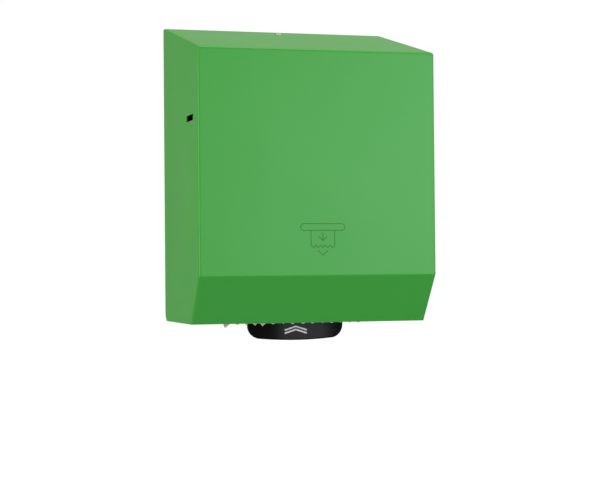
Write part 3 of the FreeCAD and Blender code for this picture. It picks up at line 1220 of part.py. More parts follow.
def pressure_axle():
    end = PLATE_OUTER_X + SLIDE_GAP + BLOCK_LIP_THICKNESS
    return rod_x(PRESSURE_AXLE_R, -end, end, PRESSURE_Y, PRESSURE_Z)


def pressure_roller():
    """Soft roller behind the paper, with hubs that reach the bearing blocks."""
    roller = rod_x(PRESSURE_R, -DRUM_HALF, DRUM_HALF, PRESSURE_Y, PRESSURE_Z)
    roller = chamfer_where(roller, PRESSURE_EDGE, lambda e: abs(e.BoundBox.XLength) < 1e-6)
    hub_end = block_inner_x() - SEAT_GAP
    hub = rod_x(2 * PRESSURE_AXLE_R, -hub_end, hub_end, PRESSURE_Y, PRESSURE_Z)
    solid = fuse(roller, hub)
    return solid.cut(rod_x(PRESSURE_AXLE_R, -hub_end, hub_end, PRESSURE_Y, PRESSURE_Z))


def bearing_block():
    """Right-hand block: it slides in the slot of the side plate, between two lips."""
    y0, y1 = PRESSURE_Y - BLOCK_DEPTH / 2, BLOCK_BACK_Y
    z0, z1 = PRESSURE_Z - BLOCK_HEIGHT / 2, PRESSURE_Z + BLOCK_HEIGHT / 2
    outer_end = PLATE_OUTER_X + SLIDE_GAP + BLOCK_LIP_THICKNESS
    core = box(block_inner_x(), outer_end, y0, y1, z0, z1)
    lips = [box(x, x + BLOCK_LIP_THICKNESS, y0, y1, z0 - BLOCK_LIP, z1 + BLOCK_LIP)
            for x in (block_inner_x(), outer_end - BLOCK_LIP_THICKNESS)]
    solid = fuse(core, *lips)
    return solid.cut(rod_x(PRESSURE_AXLE_R + RUN_GAP, 0, 2 * PLATE_INNER_X, PRESSURE_Y, PRESSURE_Z))


def pressure_spring():
    """Space of the right-hand compression spring between the block and the end of its slot."""
    middle = (PLATE_INNER_X + PLATE_OUTER_X) / 2
    y0, y1 = BLOCK_BACK_Y + SLIDE_GAP, SLOT_BACK_Y - SLIDE_GAP
    outer = rod_y(PRESSURE_SPRING_R, middle, y0, y1, PRESSURE_Z)
    return outer.cut(rod_y(PRESSURE_SPRING_R - PRESSURE_WIRE, middle, y0, y1, PRESSURE_Z))


# ---------------------------------------------------------------- roll, core and web
def paper_roll():
    """Wound paper, without its core."""
    roll = rod_x(ROLL_R, -ROLL_WIDTH / 2, ROLL_WIDTH / 2, ROLL_Y, ROLL_Z)
    roll = chamfer_where(roll, ROLL_EDGE, lambda e: abs(e.BoundBox.XLength) < 1e-6)
    return roll.cut(rod_x(CORE_R, -ROLL_WIDTH / 2, ROLL_WIDTH / 2, ROLL_Y, ROLL_Z))


def roll_core():
    return ring_x(CORE_R, CORE_BORE_R, -ROLL_WIDTH / 2, ROLL_WIDTH / 2, ROLL_Y, ROLL_Z)


def paper_web():
    """Paper from the front of the roll, round the back of the feed drum and down to its torn edge."""
    roll_r = ROLL_R + SEAT_GAP + WEB_THICKNESS / 2
    drum_r = GRIP_R + SEAT_GAP + WEB_THICKNESS / 2
    along = vec(FEED_Y - ROLL_Y, FEED_Z - ROLL_Z, 0)
    lean = math.asin((roll_r + drum_r) / along.Length)
    along.normalize()
    across = vec(along.y, -along.x, 0)
    normal = along * math.sin(lean) + across * math.cos(lean)
    roll_centre = vec(ROLL_Y, ROLL_Z, 0)
    drum_centre = vec(FEED_Y, FEED_Z, 0)
    wrap = math.atan2(-normal.y, -normal.x)
    tip_z = WEB_END_Z - TEAR_TOOTH

    def side(offset):
        leave = roll_centre + normal * (roll_r + offset)
        meet = drum_centre - normal * (drum_r - offset)
        r = drum_r - offset
        mid = drum_centre + vec(math.cos(wrap / 2), math.sin(wrap / 2), 0) * r
        fall = drum_centre + vec(r, 0, 0)
        end = vec(fall.x, tip_z, 0)
        return [on_plane("yz", p.x, p.y, -ROLL_WIDTH / 2) for p in (leave, meet, mid, fall, end)]

    front, back = side(WEB_THICKNESS / 2), side(-WEB_THICKNESS / 2)
    edges = []
    for leave, meet, mid, fall, end in (front, back):
        edges += [Part.LineSegment(leave, meet).toShape(), Part.Arc(meet, mid, fall).toShape(),
                  Part.LineSegment(fall, end).toShape()]
    edges += [Part.LineSegment(front[0], back[0]).toShape(), Part.LineSegment(front[4], back[4]).toShape()]
    web = Part.Face(Part.Wire(Part.__sortEdges__(edges))).extrude(vec(ROLL_WIDTH, 0, 0))
    cut_y = WEB_FRONT_Y - TEAR_TOOTH
    teeth = zigzag(-ROLL_WIDTH / 2, ROLL_WIDTH / 2, TEAR_PITCH, WEB_END_Z, tip_z)
    points = [vec(x, cut_y, z) for x, z in teeth]
    below = [vec(x, cut_y, tip_z - TEAR_TOOTH) for x in (ROLL_WIDTH / 2, -ROLL_WIDTH / 2)]
    torn_off = Part.Face(Part.makePolygon(points + below + points[:1])).extrude(vec(0, 2 * TEAR_TOOTH, 0))
    return web.cut(torn_off)


# ---------------------------------------------------------------- roll arms
def roll_arm():
    """Right-hand steel arm: a tapered plate with a rolled knuckle at the wall and a hole for the hub."""
    half = ARM_REAR_HEIGHT / 2
    corners = [(ARM_PIVOT_Y, ROLL_Z - half, 0), (ARM_PIVOT_Y, ROLL_Z + half, 0),
               (ROLL_Y - ARM_HEAD_R, ROLL_Z + ARM_HEAD_R, ARM_HEAD_R * ROUND_END),
               (ROLL_Y - ARM_HEAD_R, ROLL_Z - ARM_HEAD_R, ARM_HEAD_R * ROUND_END)]
    sheet = plate("yz", corners, ARM_INNER_X, ARM_SHEET)
    knuckle = rod_z(KNUCKLE_R, ARM_PIVOT_X, ARM_PIVOT_Y, ROLL_Z - half, ROLL_Z + half)
    gap_half = ARM_SPRING_SPAN / 2
    gap = box(0, ARM_PIVOT_X + 2 * KNUCKLE_R, ARM_PIVOT_Y - ARM_SPRING_RELIEF, 0,
              ROLL_Z - gap_half, ROLL_Z + gap_half)
    solid = fuse(sheet, knuckle).cut(gap)
    solid = solid.cut(rod_z(ARM_PIN_R + RUN_GAP, ARM_PIVOT_X, ARM_PIVOT_Y, 0, 2 * ROLL_Z))
    window_y = (ROLL_Y + ARM_HEAD_R + ARM_PIVOT_Y) / 2
    near, far = window_y + ARM_WINDOW_LENGTH / 2, window_y - ARM_WINDOW_LENGTH / 2
    low, high = ROLL_Z - ARM_WINDOW_HEIGHT / 2, ROLL_Z + ARM_WINDOW_HEIGHT / 2
    window = [(near, low, ARM_WINDOW_CORNER), (near, high, ARM_WINDOW_CORNER), (far, high, ARM_WINDOW_CORNER),
              (far, low, ARM_WINDOW_CORNER)]
    solid = solid.cut(plate("yz", window, ARM_INNER_X, ARM_SHEET))
    return solid.cut(rod_x(HUB_STUB_R, ARM_INNER_X, ARM_INNER_X + ARM_SHEET, ROLL_Y, ROLL_Z))


def roll_hub():
    """Right-hand hub: flange on the arm, hollow tapered nose in the core, headed stub through the arm."""
    flange_end = ARM_INNER_X - HUB_FLANGE
    nose_end = ROLL_WIDTH / 2 - HUB_INSERT
    stub_end = ARM_INNER_X + ARM_SHEET
    profile = [(0, nose_end), (HUB_NOSE_R - HUB_LEAD, nose_end), (HUB_NOSE_R, nose_end + HUB_LEAD),
               (HUB_BASE_R, flange_end), (ARM_HEAD_R, flange_end), (ARM_HEAD_R, ARM_INNER_X),
               (HUB_STUB_R, ARM_INNER_X), (HUB_STUB_R, stub_end), (HUB_STUB_R + HUB_HEAD_LIP, stub_end),
               (HUB_STUB_R + HUB_HEAD_LIP / 2, stub_end + HUB_HEAD), (0, stub_end + HUB_HEAD)]
    points = [vec(x, ROLL_Y + r, ROLL_Z) for r, x in profile]
    half_section = Part.Face(Part.makePolygon(points + points[:1]))
    solid = half_section.revolve(vec(0, ROLL_Y, ROLL_Z), vec(1, 0, 0), 360)
    hollow = Part.makeCone(HUB_NOSE_R - HUB_LEAD - HUB_WALL, HUB_BASE_R - HUB_LEAD - HUB_WALL,
                           HUB_INSERT - HUB_WALL, vec(nose_end, ROLL_Y, ROLL_Z), vec(1, 0, 0))
    post = rod_x(HUB_STUB_R, nose_end, flange_end, ROLL_Y, ROLL_Z)
    return solid.cut(hollow.cut(post))


def arm_bracket():
    """Right-hand bracket on the back plate: two ears hold the arm's pin, two tabs take the nuts."""
    inner = ARM_REAR_HEIGHT / 2 + SEAT_GAP
    x0, x1 = ARM_PIVOT_X - BRACKET_WIDTH / 2, ARM_PIVOT_X + BRACKET_WIDTH / 2
    back = -BASE_SHEET
    ear_low = ROLL_Z - inner - BRACKET_SHEET
    ear_high = ROLL_Z + inner + BRACKET_SHEET
    ears = [box(x0, x1, -BRACKET_REACH, back, z, z + BRACKET_SHEET) for z in (ear_low, ROLL_Z + inner)]
    ears = [fillet_where(e, BRACKET_WIDTH / 3, lambda k: k.BoundBox.YMax < -BRACKET_REACH + 1e-6
                         and k.BoundBox.ZLength > BRACKET_SHEET - 1e-6) for e in ears]
    tabs = box(x0, x1, back - BRACKET_SHEET, back, ear_low - BRACKET_TAB, ear_high + BRACKET_TAB)
    solid = fuse(tabs, *ears)
    solid = solid.cut(rod_z(ARM_PIN_R, ARM_PIVOT_X, ARM_PIVOT_Y, 0, 2 * ROLL_Z))
    for x, z in bracket_stud_places():
        solid = solid.cut(stud_hole(x, z))
    return solid


def arm_pin():
    reach = ARM_REAR_HEIGHT / 2 + SEAT_GAP + BRACKET_SHEET
    pin = rod_z(ARM_PIN_R, ARM_PIVOT_X, ARM_PIVOT_Y, ROLL_Z - reach, ROLL_Z + reach + ARM_PIN_HEAD)
    head_z = ROLL_Z + reach
    head = rod_z(ARM_PIN_R + ARM_PIN_HEAD, ARM_PIVOT_X, ARM_PIVOT_Y, head_z, head_z + ARM_PIN_HEAD)
    return fuse(pin, head)


def arm_pins():
    return group([arm_pin(), mirror(arm_pin())])


def arm_spring():
    """Space of the right-hand torsion spring between the two halves of the knuckle."""
    half = ARM_SPRING_SPAN / 2 - SEAT_GAP
    outer = rod_z(KNUCKLE_R, ARM_PIVOT_X, ARM_PIVOT_Y, ROLL_Z - half, ROLL_Z + half)
    return outer.cut(rod_z(ARM_PIN_R + SEAT_GAP, ARM_PIVOT_X, ARM_PIVOT_Y, ROLL_Z - half, ROLL_Z + half))


# ---------------------------------------------------------------- the whole dispenser
def all_parts():
    """Every sub-part by its name."""
    return {
        "back_plate": back_plate(),
        "mounting_nuts": mounting_nuts(),
        "left_side_plate": left_side_plate(),
        "right_side_plate": right_side_plate(),
        "front_cross_member": front_cross_member(),
        "rear_cross_member": rear_cross_member(),
        "paper_guide": paper_guide(),
        "cross_member_screws": cross_member_screws(),
        "tear_bar": tear_bar(),
        "tear_bar_rivets": tear_bar_rivets(),
        "lever_bushes": lever_bushes(),
        "feed_bushes": feed_bushes(),
        "anti_reverse_clutch": anti_reverse_clutch(),
        "clutch_screw": clutch_screw(),
        "stop_posts": stop_posts(),
        "stop_sleeves": stop_sleeves(),
        "gear_cover": gear_cover(),
        "gear_cover_screws": gear_cover_screws(),
        "left_arm_bracket": mirror(arm_bracket()),
        "right_arm_bracket": arm_bracket(),
        "arm_pins": arm_pins(),
        "lock_strike": lock_strike(),
        "paper_web": paper_web(),
        "cover_shell": cover_shell(),
        "cover_hinge_studs": cover_hinge_studs(),
        "lock_barrel": lock_barrel(),
        "lock_nut": lock_nut(),
        "lock_plug": lock_plug(),
        "lock_cam": lock_cam(),
        "lock_cam_screw": lock_cam_screw(),
        "push_lever": push_lever(),
        "lever_shaft": lever_shaft(),
        "lever_shaft_clips": lever_shaft_clips(),
        "lever_pins": lever_pins(),
        "sector_gear": sector_gear(),
        "left_return_spring": mirror(return_spring()),
        "right_return_spring": return_spring(),
        "drive_pinion": drive_pinion(),
        "drive_clutch": drive_clutch(),
        "feed_axle": feed_axle(),
        "feed_axle_clips": feed_axle_clips(),
        "feed_drum": feed_drum(),
        "feed_grip_bands": feed_grip_bands(),
        "feed_knob": feed_knob(),
        "left_bearing_block": mirror(bearing_block()),
        "right_bearing_block": bearing_block(),
        "left_pressure_spring": mirror(pressure_spring()),
        "right_pressure_spring": pressure_spring(),
        "pressure_axle": pressure_axle(),
        "pressure_roller": pressure_roller(),
        "paper_roll": paper_roll(),
        "roll_core": roll_core(),
        "left_roll_arm": mirror(roll_arm()),
        "right_roll_arm": roll_arm(),
        "left_roll_hub": mirror(roll_hub()),
        "right_roll_hub": roll_hub(),
        "left_arm_spring": mirror(arm_spring()),
        "right_arm_spring": arm_spring(),
    }


def main():
    os.makedirs("parts", exist_ok=True)
    for name, shape in all_parts().items():
        shape.translate(vec(0, 0, -WALL_HOLES_Z))
        shape.exportStep("parts/" + name + ".step")
        print(f"{name:24s} solids {len(shape.Solids)} valid {shape.isValid()} volume {shape.Volume:10.1f}")


main()
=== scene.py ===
import logging
import math
import random
from abc import ABC, abstractmethod
from collections.abc import Callable, Sequence
from dataclasses import dataclass
from enum import Enum

import bmesh
import bpy
from mathutils import Matrix, Vector


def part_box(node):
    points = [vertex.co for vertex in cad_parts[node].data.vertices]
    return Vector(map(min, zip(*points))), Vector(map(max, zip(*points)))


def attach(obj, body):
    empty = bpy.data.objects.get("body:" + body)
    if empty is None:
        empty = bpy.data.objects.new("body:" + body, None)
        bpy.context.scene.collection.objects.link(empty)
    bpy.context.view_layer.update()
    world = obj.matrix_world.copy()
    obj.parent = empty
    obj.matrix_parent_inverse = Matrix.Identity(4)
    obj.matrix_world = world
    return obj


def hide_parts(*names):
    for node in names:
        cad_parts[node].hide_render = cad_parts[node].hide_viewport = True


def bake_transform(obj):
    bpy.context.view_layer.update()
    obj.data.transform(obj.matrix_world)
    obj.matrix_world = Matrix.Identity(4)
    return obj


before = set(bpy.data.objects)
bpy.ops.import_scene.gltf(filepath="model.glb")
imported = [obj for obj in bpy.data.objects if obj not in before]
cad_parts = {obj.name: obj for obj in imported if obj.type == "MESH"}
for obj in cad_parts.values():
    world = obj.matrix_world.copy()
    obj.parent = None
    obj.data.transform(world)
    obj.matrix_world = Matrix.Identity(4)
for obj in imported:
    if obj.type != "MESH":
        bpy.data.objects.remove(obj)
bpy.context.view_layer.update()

# Looks of a wall-mounted lever dispenser for a roll of paper towel. Sizes are in millimetres in the part's
# own frame (X right, Y into the wall, Z up, origin at the middle of the wall holes) until a mesh is made.

LOG = logging.getLogger("dispenser")
MM = 0.001
MITRE_LIMIT = 0.4       # least cosine that a mitre is worked out with, so that a sharp corner stays short
COIL_CHORD_DEG = 15.0   # angle of each straight piece of a coil
# Sockets of a mix node, which has several of one name: its factor, its two values, its two colours, and the
# colour that it gives.
FACTOR, VALUE_A, VALUE_B, COLOUR_A, COLOUR_B, MIXED_COLOUR = 0, 2, 3, 6, 7, 2

Corner = tuple[float, float]
Place = tuple[float, float, float]
Stroke = tuple[list[Corner], bool]
Tree = bpy.types.NodeTree
Socket = bpy.types.NodeSocket


class Side(Enum):
    """Which half of the dispenser a handed piece is on."""

    LEFT = -1
    RIGHT = 1

    def name_of(self, piece: str) -> str:
        """Put the side's name in front of a piece's name."""
        return f"{self.name.lower()}_{piece}"


class Lay(Enum):
    """How towel paper lies, which decides how its embossing runs."""

    ROUND_THE_ROLL = "round the roll"
    ALONG_THE_WEB = "along the web"


# ---- measures of the frame
def box_of(node: str) -> tuple[Vector, Vector]:
    """Lowest and highest corner of a node at rest, in millimetres."""
    low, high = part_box(node)
    return low / MM, high / MM


def axis_of(node: str) -> Corner:
    """Y and Z of the axis of a node that is round about X, to a micrometre."""
    low, high = box_of(node)
    return round((low.y + high.y) / 2, 3), round((low.z + high.z) / 2, 3)


def radius_of(node: str) -> float:
    """Outer radius of a node that is round about X, to a micrometre."""
    low, high = box_of(node)
    return round((high.z - low.z) / 2, 3)


def front_of(node: str) -> float:
    """Y of the foremost point of a node, to a micrometre."""
    low, _ = box_of(node)
    return round(low.y, 3)


# ---- nodes and colours
def linear(colour: str) -> tuple[float, float, float, float]:
    """Turn an sRGB hex value into the linear colour that a shader takes.

    Args:
        colour: Hex value such as "#3BA13F".

    Returns:
        Linear red, green and blue, and full opacity.
    """
    channels = [int(colour[i:i + 2], 16) / 255 for i in (1, 3, 5)]
    red, green, blue = (c / 12.92 if c <= 0.04045 else ((c + 0.055) / 1.055) ** 2.4 for c in channels)
    return red, green, blue, 1.0


def add_node(tree: Tree, kind: str, inputs: dict | None = None, **settings: object) -> bpy.types.Node:
    """Add a node with its settings, its input values and its links.

    Args:
        tree: Node tree that gets the node.
        kind: Node type without its ShaderNode prefix.
        inputs: For an input's name or number, its value or the socket that feeds it.
        settings: Properties of the node itself.

    Returns:
        The new node.
    """
    node = tree.nodes.new("ShaderNode" + kind)
    for name, value in settings.items():
        setattr(node, name, value)
    for key, value in (inputs or {}).items():
        if isinstance(value, Socket):
            tree.links.new(value, node.inputs[key])
        else:
            node.inputs[key].default_value = value
    return node


# ---- finishes
@dataclass(frozen=True)
class Finish:
    """A surface as its maker leaves it: two close colours, two close glosses and a fine relief.

    Attributes:
        name: Common name of the material and its finish.
        colours: The two colours between which it drifts.
        roughness: Its roughness at each of the two.
        grain_mm: Size of the relief's grains, as drawn.
        grain_depth_mm: Depth of the relief.
        drift_mm: Size of the uneven patches.
        metallic: 1 for bare metal.
        specular: Strength of the shader's reflection at normal incidence.
    """

    name: str
    colours: tuple[str, str]
    roughness: tuple[float, float]
    grain_mm: float
    grain_depth_mm: float
    drift_mm: float = 70.0
    metallic: float = 0.0
    specular: float = 0.5

    def build(self) -> bpy.types.Material:
        """Make the material.

        Returns:
            The material, with its colour, roughness and bump from nodes.
        """
        material = bpy.data.materials.new(self.name)
        material.use_nodes = True
        tree = material.node_tree
        tree.nodes.clear()
        place = add_node(tree, "TexCoord").outputs["Object"]
        drift = self.drift(tree, place)
        colour, far_colour = (linear(value) for value in self.colours)
        rough, far_rough = self.roughness
        tint = add_node(tree, "Mix", {FACTOR: drift, COLOUR_A: colour, COLOUR_B: far_colour},
                        data_type="RGBA")
        gloss = add_node(tree, "MapRange", {"Value": drift, "To Min": rough, "To Max": far_rough})
        relief = add_node(tree, "Bump", {"Height": self.grain(tree, place),
                                         "Distance": self.grain_depth_mm * MM})
        shader = add_node(tree, "BsdfPrincipled", {
            "Base Color": tint.outputs[MIXED_COLOUR],
            "Roughness": gloss.outputs[0],
            "Normal": relief.outputs[0],
            "Metallic": self.metallic,
            "Specular IOR Level": self.specular,
        })
        add_node(tree, "OutputMaterial", {"Surface": shader.outputs[0]})
        return material

    def drift(self, tree: Tree, place: Socket) -> Socket:
        """Slow unevenness of colour and gloss, from 0 to 1."""
        scale = 1 / (self.drift_mm * MM)
        return add_node(tree, "TexNoise", {"Vector": place, "Scale": scale, "Detail": 3.0}).outputs[0]

    def grain(self, tree: Tree, place: Socket) -> Socket:
        """Relief, from 0 to 1."""
        scale = 1 / (self.grain_mm * MM)
        return add_node(tree, "TexNoise", {"Vector": place, "Scale": scale, "Detail": 2.0}).outputs[0]


@dataclass(frozen=True)
class Spangled(Finish):
    """Hot-dipped sheet, whose zinc has set in flat crystals that each catch the light in their own way.

    Attributes:
        spangle_mm: Size of the crystals.
    """

    spangle_mm: float = 7.0

    def drift(self, tree: Tree, place: Socket) -> Socket:
        """One even value for each crystal, from 0 to 1."""
        crystals = add_node(tree, "TexVoronoi", {"Vector": place, "Scale": 1 / (self.spangle_mm * MM)})
        return crystals.outputs["Color"]


@dataclass(frozen=True)
class Brushed(Finish):
    """Metal with long fine scratches along X.

    Attributes:
        scratch_mm: Length of the scratches.
    """

    scratch_mm: float = 45.0

    def grain(self, tree: Tree, place: Socket) -> Socket:
        """Noise drawn out along the scratches."""
        stretch = [1 / (size * MM) for size in (self.scratch_mm, self.grain_mm, self.grain_mm)]
        along = add_node(tree, "VectorMath", {0: place, 1: stretch}, operation="MULTIPLY").outputs[0]
        return add_node(tree, "TexNoise", {"Vector": along, "Scale": 1.0, "Detail": 2.0}).outputs[0]

    def drift(self, tree: Tree, place: Socket) -> Socket:
        """The same scratches, as streaks of colour and gloss."""
        return self.grain(tree, place)


@dataclass(frozen=True)
class Turned(Finish):
    """A round piece with a pattern that goes round its own axis along X.

    Attributes:
        node: Node whose axis and radius the pattern takes.
    """

    node: str = "paper_roll"

    def polar(self, tree: Tree, place: Socket) -> tuple[Socket, ...]:
        """Split a place into what a pattern on a round piece needs.

        Args:
            tree: Node tree of the material.
            place: Place in the part's frame, in metres.

        Returns:
            Place along the axis, angle round it in radians, and distance from it, the lengths in metres.
        """
        axis_y, axis_z = axis_of(self.node)
        centre = (0.0, axis_y * MM, axis_z * MM)
        arm = add_node(tree, "VectorMath", {0: place, 1: centre}, operation="SUBTRACT").outputs[0]
        x, y, z = add_node(tree, "SeparateXYZ", {0: arm}).outputs[:3]
        angle = add_node(tree, "Math", {0: z, 1: y}, operation="ARCTAN2").outputs[0]
        across = add_node(tree, "VectorMath", {0: arm, 1: (0.0, 1.0, 1.0)}, operation="MULTIPLY").outputs[0]
        radius = add_node(tree, "VectorMath", {0: across}, operation="LENGTH").outputs["Value"]
        return x, angle, radius


@dataclass(frozen=True)
class RibbedRubber(Turned):
    """Moulded rubber band with ribs along its axis, which grip the paper."""

    def grain(self, tree: Tree, place: Socket) -> Socket:
        """Rounded ribs, one for each grain size round the band."""
        ribs = round(2 * math.pi * radius_of(self.node) / self.grain_mm)
        _, angle, _ = self.polar(tree, place)
        phase = add_node(tree, "Math", {0: angle, 1: float(ribs)}, operation="MULTIPLY").outputs[0]
        wave = add_node(tree, "Math", {0: phase}, operation="SINE").outputs[0]
        return add_node(tree, "MapRange", {"Value": wave, "From Min": -1.0, "From Max": 1.0}).outputs[0]


@dataclass(frozen=True)
class TowelPaper(Turned):
    """Creped towel paper with embossed dots, seen as a sheet or wound into a roll.

    Attributes:
        dot_mm: Pitch of the embossing.
        ring_mm: Pitch of the layers at the roll's ends, drawn coarser than the paper's own 0.3 mm so that
            they show.
        rim_mm: Width of the rim that an end face shares with the outside.
        lay: Whether it is wound or hangs as a sheet.
    """

    dot_mm: float = 3.2
    ring_mm: float = 2.2
    rim_mm: float = 1.0
    lay: Lay = Lay.ROUND_THE_ROLL

    def rings(self, tree: Tree, radius: Socket) -> Socket:
        """Uneven layers at the roll's ends, from 0 to 1."""
        return add_node(tree, "TexNoise", {"W": radius, "Scale": 1 / (self.ring_mm * MM), "Detail": 2.0},
                        noise_dimensions="1D").outputs[0]

    def end_mask(self, tree: Tree, radius: Socket) -> Socket:
        """1 on the roll's end faces and 0 on its outside."""
        edge = (radius_of(self.node) - self.rim_mm) * MM
        return add_node(tree, "Math", {0: radius, 1: edge}, operation="LESS_THAN").outputs[0]

    def radians_per_metre(self) -> float:
        """Radians of the embossed pattern for one metre of paper."""
        return 2 * math.pi / (self.dot_mm * MM)

    def dots(self, tree: Tree, across: Socket, along: Socket, along_scale: float) -> Socket:
        """Rows of embossed dots.

        Args:
            tree: Node tree of the material.
            across: Place across the paper, in metres.
            along: Place along the paper, in its own unit.
            along_scale: Radians of pattern for one unit along the paper.

        Returns:
            Height from 0 to 1.
        """
        sines = []
        for spot, scale in ((across, self.radians_per_metre()), (along, along_scale)):
            phase = add_node(tree, "Math", {0: spot, 1: scale}, operation="MULTIPLY").outputs[0]
            sines.append(add_node(tree, "Math", {0: phase}, operation="SINE").outputs[0])
        both = add_node(tree, "Math", {0: sines[0], 1: sines[1]}, operation="MULTIPLY").outputs[0]
        return add_node(tree, "MapRange", {"Value": both, "From Min": -1.0, "From Max": 1.0}).outputs[0]

    def grain(self, tree: Tree, place: Socket) -> Socket:
        """Embossed dots, and layers at the ends of a roll."""
        if self.lay is Lay.ALONG_THE_WEB:
            flat = add_node(tree, "TexCoord").outputs["UV"]
            across, along, _ = add_node(tree, "SeparateXYZ", {0: flat}).outputs[:3]
            return self.dots(tree, across, along, self.radians_per_metre())
        across, angle, radius = self.polar(tree, place)
        rows = round(2 * math.pi * radius_of(self.node) / self.dot_mm)
        return self.with_ends(tree, radius, self.dots(tree, across, angle, float(rows)))

    def with_ends(self, tree: Tree, radius: Socket, outside: Socket) -> Socket:
        """Keep a pattern to the roll's outside, and show the layers on its ends."""
        mask, rings = self.end_mask(tree, radius), self.rings(tree, radius)
        return add_node(tree, "Mix", {FACTOR: mask, VALUE_A: outside, VALUE_B: rings},
                        data_type="FLOAT").outputs[0]

    def drift(self, tree: Tree, place: Socket) -> Socket:
        """Cloudy fibres, and greyer layers at the ends of a roll."""
        clouds = super().drift(tree, place)
        if self.lay is Lay.ALONG_THE_WEB:
            return clouds
        _, _, radius = self.polar(tree, place)
        return self.with_ends(tree, radius, clouds)


@dataclass(frozen=True)
class WoundBoard(Turned):
    """Grey board wound in a spiral, with the seam between its turns.

    Attributes:
        strip_mm: Width of the wound strip, along the axis.
        seam_share: Share of the strip that its seam takes.
    """

    strip_mm: float = 75.0
    seam_share: float = 0.02

    def drift(self, tree: Tree, place: Socket) -> Socket:
        """Fibres, with the darker seam across them."""
        fibres = super().drift(tree, place)
        x, angle, _ = self.polar(tree, place)
        turns = add_node(tree, "Math", {0: angle, 1: 2 * math.pi}, operation="DIVIDE").outputs[0]
        strips = add_node(tree, "Math", {0: x, 1: 1 / (self.strip_mm * MM), 2: turns},
                          operation="MULTIPLY_ADD")
        share = add_node(tree, "Math", {0: strips.outputs[0]}, operation="FRACT").outputs[0]
        seam = add_node(tree, "Math", {0: share, 1: self.seam_share}, operation="LESS_THAN").outputs[0]
        return add_node(tree, "Math", {0: fibres, 1: seam}, operation="MAXIMUM").outputs[0]


# Polyester powder baked on steel: an even satin green whose faint orange peel softens each reflection.
POWDER_COAT = Finish("powder_coated_steel", ("#30A02E", "#2D9D2B"), (0.42, 0.46),
                     grain_mm=3.0, grain_depth_mm=0.007, drift_mm=90.0)
# Ink printed on the powder: a darker, flatter green line.
LINE_INK = Finish("screen_printed_ink", ("#1E7420", "#237A25"), (0.55, 0.60),
                  grain_mm=1.0, grain_depth_mm=0.004, specular=0.4)
# Hot-dip galvanised sheet: pale blue-grey crystals, each with its own gloss.
GALVANISED = Spangled("galvanised_steel_sheet", ("#B9BEC2", "#A3A9AE"), (0.34, 0.52),
                      grain_mm=1.2, grain_depth_mm=0.004, metallic=1.0)
# Zinc-plated and passivated fasteners and turned parts: an even bright grey with a cool tone.
ZINC_PLATED = Finish("zinc_plated_steel", ("#C4C8CC", "#B2B7BC"), (0.24, 0.34),
                     grain_mm=0.8, grain_depth_mm=0.003, drift_mm=12.0, metallic=1.0)
# Ground steel shafts: bright, with the faint unevenness left by the grinding wheel.
GROUND_STEEL = Finish("ground_steel_shaft", ("#CBCDCF", "#BBBEC1"), (0.18, 0.26),
                      grain_mm=0.4, grain_depth_mm=0.002, drift_mm=8.0, metallic=1.0)
# Stainless strip, brushed along its length before its teeth were punched.
BRUSHED_STAINLESS = Brushed("brushed_stainless_steel", ("#C9C8C4", "#AEADA9"), (0.24, 0.36),
                            grain_mm=0.5, grain_depth_mm=0.003, metallic=1.0)
# Drawn spring wire: bright with a slightly oily grey.
SPRING_WIRE = Finish("drawn_spring_wire", ("#A9ABAD", "#8C8E91"), (0.22, 0.32),
                     grain_mm=0.6, grain_depth_mm=0.002, drift_mm=5.0, metallic=1.0)
# Nickel-plated zinc of a small cam lock: a warm satin metal that is a little worn.
NICKEL_PLATED = Finish("nickel_plated_zinc", ("#C2C4BC", "#BBBDB5"), (0.36, 0.42),
                       grain_mm=1.0, grain_depth_mm=0.002, drift_mm=6.0, metallic=1.0)
# Injection-moulded ABS in black: glossy, and dulled by the fine spark texture of the mould.
BLACK_ABS = Finish("moulded_black_abs", ("#09090A", "#0B0B0C"), (0.16, 0.20),
                   grain_mm=0.9, grain_depth_mm=0.002, drift_mm=40.0, specular=0.085)
# The same plastic in dark grey for the inner mouldings, with a coarser and duller texture.
GREY_ABS = Finish("moulded_grey_abs", ("#54585C", "#5C6064"), (0.42, 0.52),
                  grain_mm=0.9, grain_depth_mm=0.010, drift_mm=40.0)
# Acetal, moulded in its natural colour: waxy and faintly yellow.
ACETAL = Finish("moulded_natural_acetal", ("#E6E3D8", "#DCD8CB"), (0.32, 0.40),
                grain_mm=1.0, grain_depth_mm=0.004, drift_mm=20.0)
# Nitrile rubber: nearly black and matt, with a dusty bloom.
NITRILE = Finish("moulded_nitrile_rubber", ("#1C1C1D", "#29292A"), (0.72, 0.82),
                 grain_mm=0.8, grain_depth_mm=0.020, drift_mm=15.0, specular=0.35)
# The same rubber in the ribbed bands of the feed drum, with a rib for every 2.5 mm.
NITRILE_RIBS = RibbedRubber("ribbed_nitrile_rubber", ("#1C1C1D", "#29292A"), (0.70, 0.80),
                            grain_mm=2.5, grain_depth_mm=0.35, drift_mm=15.0, specular=0.35,
                            node="feed_grip_bands")
# White towel paper, creped and embossed: soft, matt and slightly cloudy.
TOWEL_WEB = TowelPaper("embossed_towel_paper", ("#EDEDEA", "#E2E2DF"), (0.86, 0.94),
                       grain_mm=3.2, grain_depth_mm=0.12, drift_mm=12.0, specular=0.2,
                       lay=Lay.ALONG_THE_WEB)
# The same paper wound up: dots outside, and the grey edges of its layers at both ends.
TOWEL_ROLL = TowelPaper("wound_towel_paper", ("#EDEDEA", "#D4D4D0"), (0.86, 0.94),
                        grain_mm=3.2, grain_depth_mm=0.12, drift_mm=12.0, specular=0.2)
# Recycled board of the core: grey-brown and fibrous.
GREY_BOARD = WoundBoard("spiral_wound_board", ("#A99878", "#8C7C60"), (0.85, 0.93),
                        grain_mm=0.8, grain_depth_mm=0.03, drift_mm=2.5, specular=0.2)
